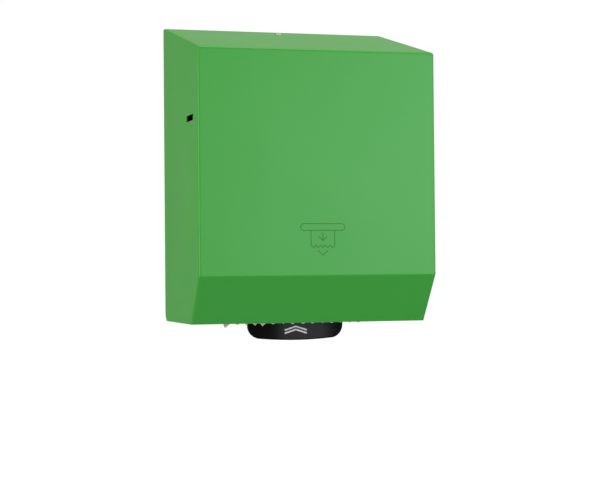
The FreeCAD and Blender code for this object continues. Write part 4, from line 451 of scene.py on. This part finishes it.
# White pad-printing ink on the lever: a thin, slightly glossy film.
WHITE_INK = Finish("pad_printed_white_ink", ("#F4F4F5", "#EBEBED"), (0.45, 0.55),
                   grain_mm=1.2, grain_depth_mm=0.004, drift_mm=4.0)
# Painted studio floor: matt, and a cool white that looks neutral under the warm light from above.
STUDIO_FLOOR = Finish("matt_floor_paint", ("#EEEEFF", "#E8E8F9"), (0.85, 0.92),
                      grain_mm=6.0, grain_depth_mm=0.05, drift_mm=400.0, specular=0.2)


def made(finish: Finish) -> bpy.types.Material:
    """The material of a finish, built the first time that it is wanted."""
    return bpy.data.materials.get(finish.name) or finish.build()


# ---- mesh making
def add_piece(name: str, points: Sequence[Sequence[float]], faces: Sequence[Sequence[int]], finish: Finish,
              sharp_deg: float = 35.0) -> bpy.types.Object:
    """Make a mesh piece.

    Args:
        name: Name of the piece.
        points: Points in millimetres.
        faces: Corners of each face, as numbers of points.
        finish: Its surface.
        sharp_deg: Edges that fold by more than this stay sharp.

    Returns:
        The piece, linked to the scene.
    """
    mesh = bpy.data.meshes.new(name)
    mesh.from_pydata([Vector(p) * MM for p in points], [], faces)
    shape = bmesh.new()
    shape.from_mesh(mesh)
    bmesh.ops.recalc_face_normals(shape, faces=shape.faces)
    for face in shape.faces:
        face.smooth = True
    shape.to_mesh(mesh)
    shape.free()
    mesh.set_sharp_from_angle(angle=math.radians(sharp_deg))
    mesh.materials.append(made(finish))
    piece = bpy.data.objects.new(name, mesh)
    bpy.context.scene.collection.objects.link(piece)
    LOG.info("%s: %d faces, %s", name, len(mesh.polygons), finish.name)
    return piece


def arc(centre: Corner, radius: float, start_deg: float, end_deg: float, steps: int) -> list[Corner]:
    """Points along an arc.

    Args:
        centre: Its centre.
        radius: Its radius.
        start_deg: Angle of the first point.
        end_deg: Angle of the last point.
        steps: Number of chords.

    Returns:
        The points, both ends among them.
    """
    angles = (math.radians(start_deg + (end_deg - start_deg) * i / steps) for i in range(steps + 1))
    return [(centre[0] + radius * math.cos(a), centre[1] + radius * math.sin(a)) for a in angles]


def line_edges(path: Sequence[Corner], closed: bool, width: float) -> list[tuple[Vector, Vector]]:
    """Both edges of a drawn line with mitred corners.

    Args:
        path: Middle of the line.
        closed: Whether its end joins its start.
        width: Width of the line.

    Returns:
        For each point, the points on both edges.
    """
    spots = [Vector(p) for p in path]
    edges = []
    for i, here in enumerate(spots):
        before = spots[i - 1] if closed or i else here * 2 - spots[1]
        after = spots[(i + 1) % len(spots)] if closed or i + 1 < len(spots) else here * 2 - spots[-2]
        arriving = (here - before).normalized()
        middle = (arriving + (after - here).normalized()).normalized()
        across = Vector((-middle.y, middle.x))
        reach = width / 2 / max(MITRE_LIMIT, across.dot(Vector((-arriving.y, arriving.x))))
        edges.append((here + across * reach, here - across * reach))
    return edges


def drawn_lines(name: str, strokes: Sequence[Stroke], width: float, proud: float,
                surface: Callable[[float], float], finish: Finish) -> bpy.types.Object:
    """Make printed lines that stand a hair proud of a face that looks along -Y.

    Args:
        name: Name of the piece.
        strokes: Each line's path in X and Z, and whether it is closed.
        width: Width of the lines.
        proud: How far the ink stands out.
        surface: Y of the face for each X.
        finish: The ink.

    Returns:
        The piece.
    """
    points: list[Place] = []
    faces: list[list[int]] = []
    for path, closed in strokes:
        first = len(points)
        edges = line_edges(path, closed, width)
        for pair in edges:
            points += [(p.x, surface(p.x) - depth, p.y) for depth in (proud, -proud) for p in pair]
        count = len(edges)
        for i in range(count if closed else count - 1):
            a, b = first + 4 * i, first + 4 * ((i + 1) % count)
            faces += [[a, a + 1, b + 1, b], [a + 3, a + 2, b + 2, b + 3], [a + 1, a + 3, b + 3, b + 1],
                      [a + 2, a, b, b + 2]]
        if not closed:
            last = first + 4 * (count - 1)
            faces += [[first, first + 2, first + 3, first + 1], [last, last + 1, last + 3, last + 2]]
    return add_piece(name, points, faces, finish)


def wire(name: str, path: Sequence[Vector], thickness: float, finish: Finish,
         sides: int = 8) -> bpy.types.Object:
    """Make a round wire with closed ends.

    Args:
        name: Name of the piece.
        path: Points along its middle.
        thickness: Diameter of the wire.
        finish: Its surface.
        sides: Number of faces round it.

    Returns:
        The piece.
    """
    points: list[Vector] = []
    across = (path[1] - path[0]).orthogonal().normalized()
    for i, centre in enumerate(path):
        ahead = (path[min(i + 1, len(path) - 1)] - path[max(i - 1, 0)]).normalized()
        across = (across - ahead * across.dot(ahead)).normalized()
        beside = ahead.cross(across)
        for k in range(sides):
            turn = 2 * math.pi * k / sides
            points.append(centre + (across * math.cos(turn) + beside * math.sin(turn)) * thickness / 2)
    last = (len(path) - 1) * sides
    faces = [[ring + k, ring + (k + 1) % sides, ring + sides + (k + 1) % sides, ring + sides + k]
             for ring in range(0, last, sides) for k in range(sides)]
    faces += [list(range(sides)), list(range(last, last + sides))]
    return add_piece(name, points, faces, finish, sharp_deg=60.0)


def coil(radius: float, start_deg: float, end_deg: float, start: float, end: float) -> list[Place]:
    """Points of a coil.

    Args:
        radius: Mean radius.
        start_deg: Angle where it starts.
        end_deg: Angle where it ends.
        start: Height where it starts.
        end: Height where it ends.

    Returns:
        Each point's two places across the axis and its height along it.
    """
    steps = round(abs(end_deg - start_deg) / COIL_CHORD_DEG)
    ring = arc((0.0, 0.0), radius, start_deg, end_deg, steps)
    return [(u, w, start + (end - start) * i / steps) for i, (u, w) in enumerate(ring)]


# ---- sub-assemblies
class SubAssembly(ABC):
    """Pieces that are dressed and built together."""

    @abstractmethod
    def build(self) -> None:
        """Dress the nodes of the frame and make the pieces that it lacks."""

    @staticmethod
    def dress(finish: Finish, *nodes: str) -> None:
        """Give nodes of the frame their finish."""
        for node in nodes:
            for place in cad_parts[node].material_slots:
                place.material = made(finish)
            LOG.info("%s: %s", node, finish.name)


@dataclass
class Cover(SubAssembly):
    """Folded and powder-coated steel cover with its printed pictogram, hinge studs and cam lock.

    Attributes:
        mark_centre_mm: X and Z of the pictogram's centre. Its other places are measured from there.
        mark_line_mm: Width of its lines.
        ink_mm: Thickness of the ink.
        slot_mm: X and Z of the centre of the slot's rounded end.
        slot_radius_mm: Radius of that end.
        slot_chords: Chords of that end.
        sheet_mm: Half the sheet's width, and Z of its torn edge.
        tooth_mm: Width and height of one flank of the torn edge.
        arrow_mm: Z of the arrow's tail and tip.
        head_mm: How far the arrow's head reaches to each side and up.
        pointer_mm: Half the width of the chevron under the sheet, Z of its ends and Z of its tip.
    """

    mark_centre_mm: Corner = (4.0, -137.0)
    mark_line_mm: float = 0.9
    ink_mm: float = 0.05
    slot_mm: Corner = (24.0, 14.0)
    slot_radius_mm: float = 4.0
    slot_chords: int = 10
    sheet_mm: Corner = (15.0, -8.0)
    tooth_mm: Corner = (3.0, 3.0)
    arrow_mm: Corner = (7.0, -2.5)
    head_mm: float = 5.0
    pointer_mm: Place = (6.0, -14.5, -20.0)

    def build(self) -> None:
        """Dress the cover and print its pictogram."""
        self.dress(POWDER_COAT, "cover_shell")
        self.dress(ZINC_PLATED, "cover_hinge_studs")
        self.dress(NICKEL_PLATED, "lock_barrel", "lock_nut", "lock_plug", "lock_cam", "lock_cam_screw")
        front = front_of("cover_shell")
        mark = drawn_lines("front_pictogram", self.pictogram(), self.mark_line_mm, self.ink_mm,
                           lambda x: front, LINE_INK)
        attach(mark, "cover")

    def pictogram(self) -> list[Stroke]:
        """A sheet of towel that hangs from a slot, with an arrow down: a common sign for pulling a sheet.

        Returns:
            Its lines in X and Z.
        """
        end_x, end_z = self.slot_mm
        slot = arc((end_x, end_z), self.slot_radius_mm, -90, 90, self.slot_chords)
        slot += arc((-end_x, end_z), self.slot_radius_mm, 90, 270, self.slot_chords)
        half, torn = self.sheet_mm
        flank, height = self.tooth_mm
        teeth = [(half - flank * i, torn - height * (i % 2)) for i in range(round(2 * half / flank) + 1)]
        top = end_z - self.slot_radius_mm
        sheet = [(half, top)] + teeth + [(-half, top)]
        tail, tip = self.arrow_mm
        head = self.head_mm
        side, brow, chin = self.pointer_mm
        strokes = [(slot, True), (sheet, False), ([(0.0, tail), (0.0, tip)], False),
                   ([(-head, tip + head), (0.0, tip), (head, tip + head)], False),
                   ([(-side, brow), (0.0, chin), (side, brow)], False)]
        x, z = self.mark_centre_mm
        return [([(x + u, z + w) for u, w in path], closed) for path, closed in strokes]


class BackFrame(SubAssembly):
    """Back plate, mechanism frame, tear bar and their fasteners."""

    def build(self) -> None:
        """Dress the frame."""
        self.dress(GALVANISED, "back_plate", "left_side_plate", "right_side_plate", "front_cross_member",
                   "rear_cross_member")
        self.dress(ZINC_PLATED, "mounting_nuts", "cross_member_screws", "lock_strike", "tear_bar_rivets")
        self.dress(BRUSHED_STAINLESS, "tear_bar")
        self.dress(GREY_ABS, "paper_guide")


@dataclass
class LeverDrive(SubAssembly):
    """Push lever with its white mark, shaft, return springs and toothed sector.

    Attributes:
        crown_radius_mm: Radius of the paddle's face, seen from above.
        mark_centre_mm: X and Z of the middle of the upper chevron's foot.
        mark_half_mm: Half the width of a chevron, and its rise.
        mark_chords: Chords of each half, which follow the curve of the face.
        mark_pitch_mm: From one chevron up to the next.
        mark_line_mm: Width of their lines.
        ink_mm: Thickness of the ink.
        coil_radius_mm: Mean radius of the return springs.
        coil_width_mm: Their width along the shaft.
        coil_start_deg: Angle where a coil leaves its fixed leg.
        coil_turns_deg: Angle from a fixed leg round to a moving leg.
        hook_mm: Y and Z from the shaft to where a moving leg bends round the lever's arm.
        wire_mm: Diameter of their wire.
        stiff_wires: Wires at each end of a coil that don't bend. Not used.
    """

    crown_radius_mm: float = 333.8
    mark_centre_mm: Corner = (-1.5, -251.3)
    mark_half_mm: Corner = (14.5, 4.6)
    mark_chords: int = 4
    mark_pitch_mm: float = 3.9
    mark_line_mm: float = 2.0
    ink_mm: float = 0.06
    coil_radius_mm: float = 6.2
    coil_width_mm: float = 12.0
    coil_start_deg: float = 90.0
    coil_turns_deg: float = 5 * 360.0 + 122.5
    hook_mm: Corner = (6.04, -21.0)
    wire_mm: float = 1.6
    stiff_wires: float = 1.2

    def build(self) -> None:
        """Dress the drive, print the lever's mark and wind the return springs."""
        self.dress(BLACK_ABS, "push_lever")
        self.dress(GROUND_STEEL, "lever_shaft", "lever_pins")
        self.dress(SPRING_WIRE, "lever_shaft_clips")
        self.dress(ACETAL, "lever_bushes", "sector_gear")
        self.dress(ZINC_PLATED, "stop_posts", "gear_cover_screws")
        self.dress(NITRILE, "stop_sleeves")
        self.dress(GREY_ABS, "gear_cover")
        self.print_mark()
        for side in Side:
            self.wind_return_spring(side)

    def crown_fall(self, x: float) -> float:
        """How far the paddle's crowned face lies behind its foremost point at an X."""
        return self.crown_radius_mm - math.sqrt(self.crown_radius_mm ** 2 - x ** 2)

    def print_mark(self) -> None:
        """Print two flat chevrons, one over the other: a common sign for the way to push."""
        x, z = self.mark_centre_mm
        half, rise = self.mark_half_mm
        shares = [i / self.mark_chords for i in range(-self.mark_chords, self.mark_chords + 1)]
        strokes = [([(x + half * share, foot + rise * (1 - abs(share))) for share in shares], False)
                   for foot in (z - self.mark_pitch_mm, z)]
        front = front_of("push_lever")
        mark = drawn_lines("lever_mark", strokes, self.mark_line_mm, self.ink_mm,
                           lambda across: front + self.crown_fall(across), WHITE_INK)
        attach(mark, "lever")

    def wind_return_spring(self, side: Side) -> None:
        """Wind a torsion spring round the shaft, from the rear cross member to the lever.

        Args:
            side: Which of the two springs.
        """
        node = side.name_of("return_spring")
        low, high = box_of(node)
        inner, outer = sorted((abs(low.x), abs(high.x)))
        start = outer - self.wire_mm
        end = outer - self.coil_width_mm + self.wire_mm
        y, z = axis_of("lever_shaft")
        turns = coil(self.coil_radius_mm, self.coil_start_deg, self.coil_start_deg + self.coil_turns_deg,
                     start, end)
        leg = [(high.y - y, self.coil_radius_mm, start)]
        hook = [(*self.hook_mm, end), (*self.hook_mm, inner)]
        path = [Vector((side.value * along, y + u, z + w)) for u, w, along in leg + turns + hook]
        spring = wire(f"{node}_coil", path, self.wire_mm, SPRING_WIRE)
        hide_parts(node)
        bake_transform(spring)


@dataclass
class FeedTrain(SubAssembly):
    """Feed drum, its pinion and clutches, the hand knob and the sprung pressure roller.

    Attributes:
        coil_radius_mm: Mean radius of the pressure springs.
        coil_turns: Their number of turns.
        closed_turns: Turns at each end that lie against their neighbour.
        wire_mm: Diameter of their wire.
    """

    coil_radius_mm: float = 3.0
    coil_turns: float = 6.0
    closed_turns: float = 0.9
    wire_mm: float = 1.0

    def build(self) -> None:
        """Dress the train and wind the pressure springs."""
        self.dress(GREY_ABS, "feed_drum", "feed_knob")
        self.dress(NITRILE_RIBS, "feed_grip_bands")
        self.dress(NITRILE, "pressure_roller")
        self.dress(GROUND_STEEL, "feed_axle", "pressure_axle")
        self.dress(SPRING_WIRE, "feed_axle_clips")
        self.dress(ACETAL, "drive_pinion", "feed_bushes", "left_bearing_block", "right_bearing_block")
        self.dress(ZINC_PLATED, "drive_clutch", "anti_reverse_clutch", "clutch_screw")
        for side in Side:
            self.wind_pressure_spring(side)

    def wind_pressure_spring(self, side: Side) -> None:
        """Wind a compression spring with closed ends between the frame and a bearing block.

        Args:
            side: Which of the two springs.
        """
        node = side.name_of("pressure_spring")
        low, high = box_of(node)
        centre = (low + high) / 2
        rear, front = high.y - self.wire_mm / 2, low.y + self.wire_mm / 2
        closed = self.closed_turns * 360.0
        closed_again = self.coil_turns * 360.0 - closed
        lead = self.closed_turns * self.wire_mm
        turns = coil(self.coil_radius_mm, 0.0, closed, rear, rear - lead)
        turns += coil(self.coil_radius_mm, closed, closed_again, rear - lead, front + lead)[1:]
        turns += coil(self.coil_radius_mm, -closed, 0.0, front + lead, front)[1:]
        path = [Vector((centre.x + u, along, centre.z + w)) for u, w, along in turns]
        spring = wire(f"{node}_coil", path, self.wire_mm, SPRING_WIRE)
        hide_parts(node)
        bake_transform(spring)


@dataclass
class RollHolder(SubAssembly):
    """Two hinged arms with their hubs, brackets, pins and torsion springs.

    Attributes:
        pivot_mm: X and Y of the right arm's pin.
        coil_radius_mm: Mean radius of its spring.
        coil_half_mm: Half its height, to the middle of the wire.
        coil_start_deg: Angle where it leaves its fixed leg.
        coil_turns_deg: Angle from its fixed leg round to its moving leg.
        leg_bend_mm: X and Y where the moving leg meets the arm's outer face.
        leg_end_mm: X and Y of that leg's end.
        foot_mm: Y of the fixed leg's end, at the bracket.
        wire_mm: Diameter of the wire.
    """

    pivot_mm: Corner = (108.5, -12.0)
    coil_radius_mm: float = 4.0
    coil_half_mm: float = 7.5
    coil_start_deg: float = 180.0
    coil_turns_deg: float = 11 * 360.0 + 15.6
    leg_bend_mm: Corner = (106.3, -18.9)
    leg_end_mm: Corner = (106.1, -31.0)
    foot_mm: float = -3.8
    wire_mm: float = 1.0

    def build(self) -> None:
        """Dress the holder and wind the arm springs."""
        self.dress(GALVANISED, "left_roll_arm", "right_roll_arm", "left_arm_bracket", "right_arm_bracket")
        self.dress(GREY_ABS, "left_roll_hub", "right_roll_hub")
        self.dress(GROUND_STEEL, "arm_pins")
        for side in Side:
            self.wind_arm_spring(side)

    def wind_arm_spring(self, side: Side) -> None:
        """Wind a torsion spring round an arm's pin, which presses the arm against the roll.

        Args:
            side: Which of the two springs.
        """
        node = side.name_of("arm_spring")
        low, high = box_of(node)
        x, y = self.pivot_mm
        middle = (low.z + high.z) / 2
        upper, lower = middle + self.coil_half_mm, middle - self.coil_half_mm
        turns = coil(self.coil_radius_mm, self.coil_start_deg, self.coil_start_deg + self.coil_turns_deg,
                     upper, lower)
        fixed_leg = [(x - self.coil_radius_mm, self.foot_mm, upper)]
        moving_leg = [(*self.leg_bend_mm, lower), (*self.leg_end_mm, lower)]
        spots = fixed_leg + [(x + u, y + w, height) for u, w, height in turns] + moving_leg
        path = [Vector((side.value * across, depth, height)) for across, depth, height in spots]
        spring = wire(f"{node}_coil", path, self.wire_mm, SPRING_WIRE)
        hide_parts(node)
        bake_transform(spring)


@dataclass
class Paper(SubAssembly):
    """Towel roll on its core, and the web from the roll over the feed drum to its torn edge.

    Attributes:
        lift_mm: From the roll or the grip bands out to the middle of the web that lies on them.
        half_width_mm: Half the paper's width.
        thickness_mm: Thickness of the web.
        lap_deg: Angle of the roll that the web is drawn on before it leaves.
        lap_chords: Chords of that stretch.
        slope_chords: Chords of the straight stretch from the roll to the drum.
        drum_chords: Chords round the drum.
        fall_chords: Chords of the straight stretch from the drum to the curl.
        tips_mm: X and Z of each tip of the torn edge, about one tooth of the blade apart.
        columns: Columns of the mesh for each flank of a tooth.
        root_mm: Z of the torn edge between its tips.
        uneven_mm: How far the roots of the teeth stray from there.
        corner_mm: Z of the torn edge at the paper's left edge, where a strip was left hanging.
        fibre_mm: Unevenness that loose fibres give the torn edge.
        curl_mm: How far the edge curls towards the room.
        curl_length_mm: Length of the curl.
        curl_chords: Chords of the curl.
        seed: Seed of the torn edge's unevenness.
    """

    lift_mm: float = 0.45
    half_width_mm: float = 100.0
    thickness_mm: float = 0.25
    lap_deg: float = 200.0
    lap_chords: int = 72
    slope_chords: int = 40
    drum_chords: int = 8
    fall_chords: int = 10
    tips_mm: tuple[Corner, ...] = (
        (-98.0, -246.6), (-82.0, -242.8), (-70.6, -243.1), (-59.4, -244.1), (-49.7, -245.1), (-36.0, -242.8),
        (-22.9, -242.2), (-10.7, -243.1), (3.3, -243.2), (15.6, -242.7), (28.8, -242.3), (41.3, -242.6),
        (52.1, -242.2), (64.5, -242.5), (76.0, -242.7), (88.5, -241.9))
    columns: int = 6
    root_mm: float = -239.5
    uneven_mm: float = 0.5
    corner_mm: float = -243.6
    fibre_mm: float = 0.2
    curl_mm: float = 1.2
    curl_length_mm: float = 12.0
    curl_chords: int = 6
    seed: int = 7

    def build(self) -> None:
        """Dress the roll and hang the web."""
        self.dress(TOWEL_ROLL, "paper_roll")
        self.dress(GREY_BOARD, "roll_core")
        self.hang_web()

    def path(self) -> list[Corner]:
        """The web's way in Y and Z, from the roll down to where its torn edge starts to curl.

        Returns:
            Points on its middle surface.
        """
        nodes = ("paper_roll", "feed_grip_bands")
        roll, drum = (axis_of(node) for node in nodes)
        roll_radius, drum_radius = (radius_of(node) + self.lift_mm for node in nodes)
        along = Vector(drum) - Vector(roll)
        lean = math.asin((roll_radius + drum_radius) / along.length)
        along.normalize()
        normal = along * math.sin(lean) + Vector((along.y, -along.x)) * math.cos(lean)
        leave_deg = math.degrees(math.atan2(normal.y, normal.x)) % 360
        wrap_deg = math.degrees(math.atan2(-normal.y, -normal.x))
        points = arc(roll, roll_radius, leave_deg - self.lap_deg, leave_deg, self.lap_chords)
        leave, meet = Vector(points[-1]), Vector(drum) - normal * drum_radius
        points += [tuple(leave.lerp(meet, i / self.slope_chords)) for i in range(1, self.slope_chords)]
        points += arc(drum, drum_radius, wrap_deg, 0.0, self.drum_chords)
        fall_y, fall_z = points[-1]
        fall = self.root_mm + self.curl_length_mm - fall_z
        shares = [i / self.fall_chords for i in range(1, self.fall_chords + 1)]
        return points + [(fall_y, fall_z + fall * share) for share in shares]

    def torn_edge(self) -> list[Corner]:
        """X and Z of the torn edge at each column: uneven teeth with fibres between them."""
        chance = random.Random(self.seed)
        between = [(left[0] + right[0]) / 2 for left, right in zip(self.tips_mm, self.tips_mm[1:])]
        corners = [(-self.half_width_mm, self.corner_mm)]
        for tip, x in zip(self.tips_mm, [*between, self.half_width_mm]):
            corners += [tip, (x, self.root_mm + chance.uniform(-self.uneven_mm, self.uneven_mm))]
        edge = []
        for (x, z), (next_x, next_z) in zip(corners, corners[1:]):
            for column in range(self.columns):
                share = column / self.columns
                fibre = chance.uniform(-self.fibre_mm, self.fibre_mm)
                edge.append((x + (next_x - x) * share, z + (next_z - z) * share + fibre))
        return edge + corners[-1:]

    def rows(self) -> list[list[Place]]:
        """Points of the web, row by row from the roll down to the torn edge, which curls to the room."""
        path, edge = self.path(), self.torn_edge()
        rows = [[(x, y, z) for x, _ in edge] for y, z in path]
        last_y, last_z = path[-1]
        for step in range(1, self.curl_chords + 1):
            share = step / self.curl_chords
            curl = self.curl_mm * share ** 2
            rows.append([(x, last_y - curl, last_z + (tear - last_z) * share) for x, tear in edge])
        return rows

    @staticmethod
    def unroll(web: bpy.types.Object, rows: Sequence[Sequence[Place]]) -> float:
        """Lay the web out flat as its texture's places.

        Args:
            web: The web, whose points are the rows in order.
            rows: The rows.

        Returns:
            Length of the flat web, measured down its middle.
        """
        wide = len(rows[0])
        lengths = [0.0]
        for row, after in zip(rows, rows[1:]):
            lengths.append(lengths[-1] + (Vector(after[wide // 2]) - Vector(row[wide // 2])).length)
        flat = web.data.uv_layers.new(name="flat")
        for loop in web.data.loops:
            row, column = divmod(loop.vertex_index, wide)
            flat.data[loop.index].uv = (rows[row][column][0] * MM, lengths[row] * MM)
        return lengths[-1]

    def hang_web(self) -> None:
        """Build the web as one sheet, lay it out flat as its texture's places and thicken it."""
        rows = self.rows()
        wide = len(rows[0])
        faces = [[start + c, start + c + 1, start + wide + c + 1, start + wide + c]
                 for start in range(0, wide * (len(rows) - 1), wide) for c in range(wide - 1)]
        web = add_piece("torn_paper_web", [point for row in rows for point in row], faces, TOWEL_WEB)
        length = self.unroll(web, rows)
        body = web.modifiers.new("thickness", "SOLIDIFY")
        body.thickness = self.thickness_mm * MM
        body.offset = 0.0
        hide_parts("paper_web")
        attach(web, "back")


# ---- studio
@dataclass(frozen=True)
class Softbox:
    """Rectangular diffuser with its lamp.

    Attributes:
        name: Name of the light.
        place_m: Its place.
        target_m: The point that it faces.
        size_m: Its width and height.
        power_w: Power of its lamp.
        colour: Colour of its light.
    """

    name: str
    place_m: Place
    target_m: Place
    size_m: Corner
    power_w: float
    colour: str

    def hang(self) -> None:
        """Hang it in the studio."""
        data = bpy.data.lights.new(self.name, "AREA")
        data.shape = "RECTANGLE"
        data.size, data.size_y = self.size_m
        data.energy = self.power_w
        data.color = linear(self.colour)[:3]
        light = bpy.data.objects.new(self.name, data)
        light.location = self.place_m
        aim = Vector(self.target_m) - Vector(self.place_m)
        light.rotation_euler = aim.to_track_quat("-Z", "Y").to_euler()
        bpy.context.scene.collection.objects.link(light)


@dataclass
class Studio:
    """Pale floor, soft lights, white surroundings and the camera.

    Attributes:
        eye_m: Place of the camera.
        yaw: Camera's turn about Z, in radians.
        pitch: Its tilt above level, in radians.
        roll: Its turn about its own axis, in radians.
        lens_mm: Focal length of its lens.
        sensor_mm: Width of its sensor.
        floor_m: Height of the floor.
        floor_radius_m: Radius of the floor.
        floor_chords: Chords of its rim.
        sky: Colour of the surroundings at each height, from 0 for straight down to 1 for straight up.
        bright_azimuth: Direction of the brightest surroundings, clockwise from Y as seen from above.
        shade: Colour that dims the surroundings in the other directions.
        shade_cosines: Cosines from the brightest direction where the shade is full and where it ends.
        glow: Strength of the surroundings.
        softboxes: The lamps.
    """

    eye_m: Place = (-0.5614, -2.0571, -0.1709)
    yaw: float = -0.281618
    pitch: float = 0.016701
    roll: float = -0.0087305
    lens_mm: float = 96.0228
    sensor_mm: float = 36.0
    floor_m: float = -2.3
    floor_radius_m: float = 12.0
    floor_chords: int = 96
    sky: tuple[tuple[float, str], ...] = (
        (0.0, "#FFFFFF"), (0.60, "#FFFFFF"), (0.66, "#E1E1D6"), (1.0, "#E1E1D6"))
    bright_azimuth: float = math.radians(45.0)
    shade: str = "#A0A097"
    shade_cosines: Corner = (0.48, 0.76)
    glow: float = 1.03
    softboxes: tuple[Softbox, ...] = (
        Softbox("key_softbox", (1.2, -1.6, 0.5), (0.0, -0.2, 0.0), (0.9, 1.4), 14.5, "#EEF7FF"),
        Softbox("front_softbox", (0.75, -2.2, -0.1), (0.0, -0.2, 0.0), (1.0, 0.9), 13.2, "#F6FAFF"),
        Softbox("left_softbox", (-2.0, -0.7, 0.1), (0.0, -0.1, 0.0), (0.6, 1.6), 26.2, "#FFFAEC"),
        Softbox("top_softbox", (0.0, -0.1, 1.9), (0.0, -0.1, 0.0), (1.4, 1.0), 17.6, "#FFFBF5"))

    def build(self) -> None:
        """Set up the studio."""
        self.place_camera()
        self.lay_floor()
        self.light_surroundings()
        for softbox in self.softboxes:
            softbox.hang()
        bpy.context.scene.view_settings.view_transform = "Standard"
        LOG.info("studio: camera, floor, surroundings and softboxes")

    def place_camera(self) -> None:
        """Stand the camera in front, a little to the left and level with the mouth."""
        data = bpy.data.cameras.new("camera")
        data.sensor_width = self.sensor_mm
        data.lens = self.lens_mm
        camera = bpy.data.objects.new("camera", data)
        turn = Matrix.Rotation(self.yaw, 4, "Z") @ Matrix.Rotation(math.pi / 2 + self.pitch, 4, "X")
        camera.matrix_world = Matrix.Translation(self.eye_m) @ turn @ Matrix.Rotation(self.roll, 4, "Z")
        bpy.context.scene.collection.objects.link(camera)
        bpy.context.scene.camera = camera

    def lay_floor(self) -> None:
        """Lay a round floor far enough down to stay out of the picture."""
        rim = arc((0.0, 0.0), self.floor_radius_m / MM, 0.0, 360.0, self.floor_chords)[:-1]
        points = [(x, y, self.floor_m / MM) for x, y in rim]
        floor = add_piece("studio_floor", points, [list(range(len(points)))], STUDIO_FLOOR)

    def light_surroundings(self) -> None:
        """Surround the dispenser with a white horizon, warmer and dimmer overhead and in the shade."""
        world = bpy.data.worlds.new("studio_white")
        world.use_nodes = True
        tree = world.node_tree
        tree.nodes.clear()
        place = add_node(tree, "TexCoord").outputs["Generated"]
        height = add_node(tree, "SeparateXYZ", {0: place}).outputs[2]
        share = add_node(tree, "MapRange", {"Value": height, "From Min": -1.0, "From Max": 1.0}).outputs[0]
        ramp = add_node(tree, "ValToRGB", {0: share})
        stops = ramp.color_ramp.elements
        stops[0].color, stops[1].color = linear(self.sky[0][1]), linear(self.sky[-1][1])
        for spot, colour in self.sky[1:-1]:
            stops.new(spot).color = linear(colour)
        bright = (math.sin(self.bright_azimuth), math.cos(self.bright_azimuth), 0.0)
        toward = add_node(tree, "VectorMath", {0: place, 1: bright}, operation="DOT_PRODUCT")
        full, none = self.shade_cosines
        clear = add_node(tree, "MapRange", {
            "Value": toward.outputs["Value"],
            "From Min": full,
            "From Max": none,
        }).outputs[0]
        shade, white = linear(self.shade), linear("#FFFFFF")
        tint = add_node(tree, "Mix", {FACTOR: clear, COLOUR_A: shade, COLOUR_B: white}, data_type="RGBA")
        shaded = add_node(tree, "Mix", {
            FACTOR: 1.0,
            COLOUR_A: ramp.outputs[0],
            COLOUR_B: tint.outputs[MIXED_COLOUR],
        }, data_type="RGBA", blend_type="MULTIPLY")
        light = add_node(tree, "Background", {"Color": shaded.outputs[MIXED_COLOUR], "Strength": self.glow})
        add_node(tree, "OutputWorld", {"Surface": light.outputs[0]})
        bpy.context.scene.world = world


def main() -> None:
    """Build the studio and every sub-assembly in order."""
    logging.basicConfig(level=logging.INFO, format="%(levelname)s %(message)s")
    for assembly in (Studio(), Cover(), BackFrame(), LeverDrive(), FeedTrain(), RollHolder(), Paper()):
        assembly.build()


if __name__ == "__main__":
    main()
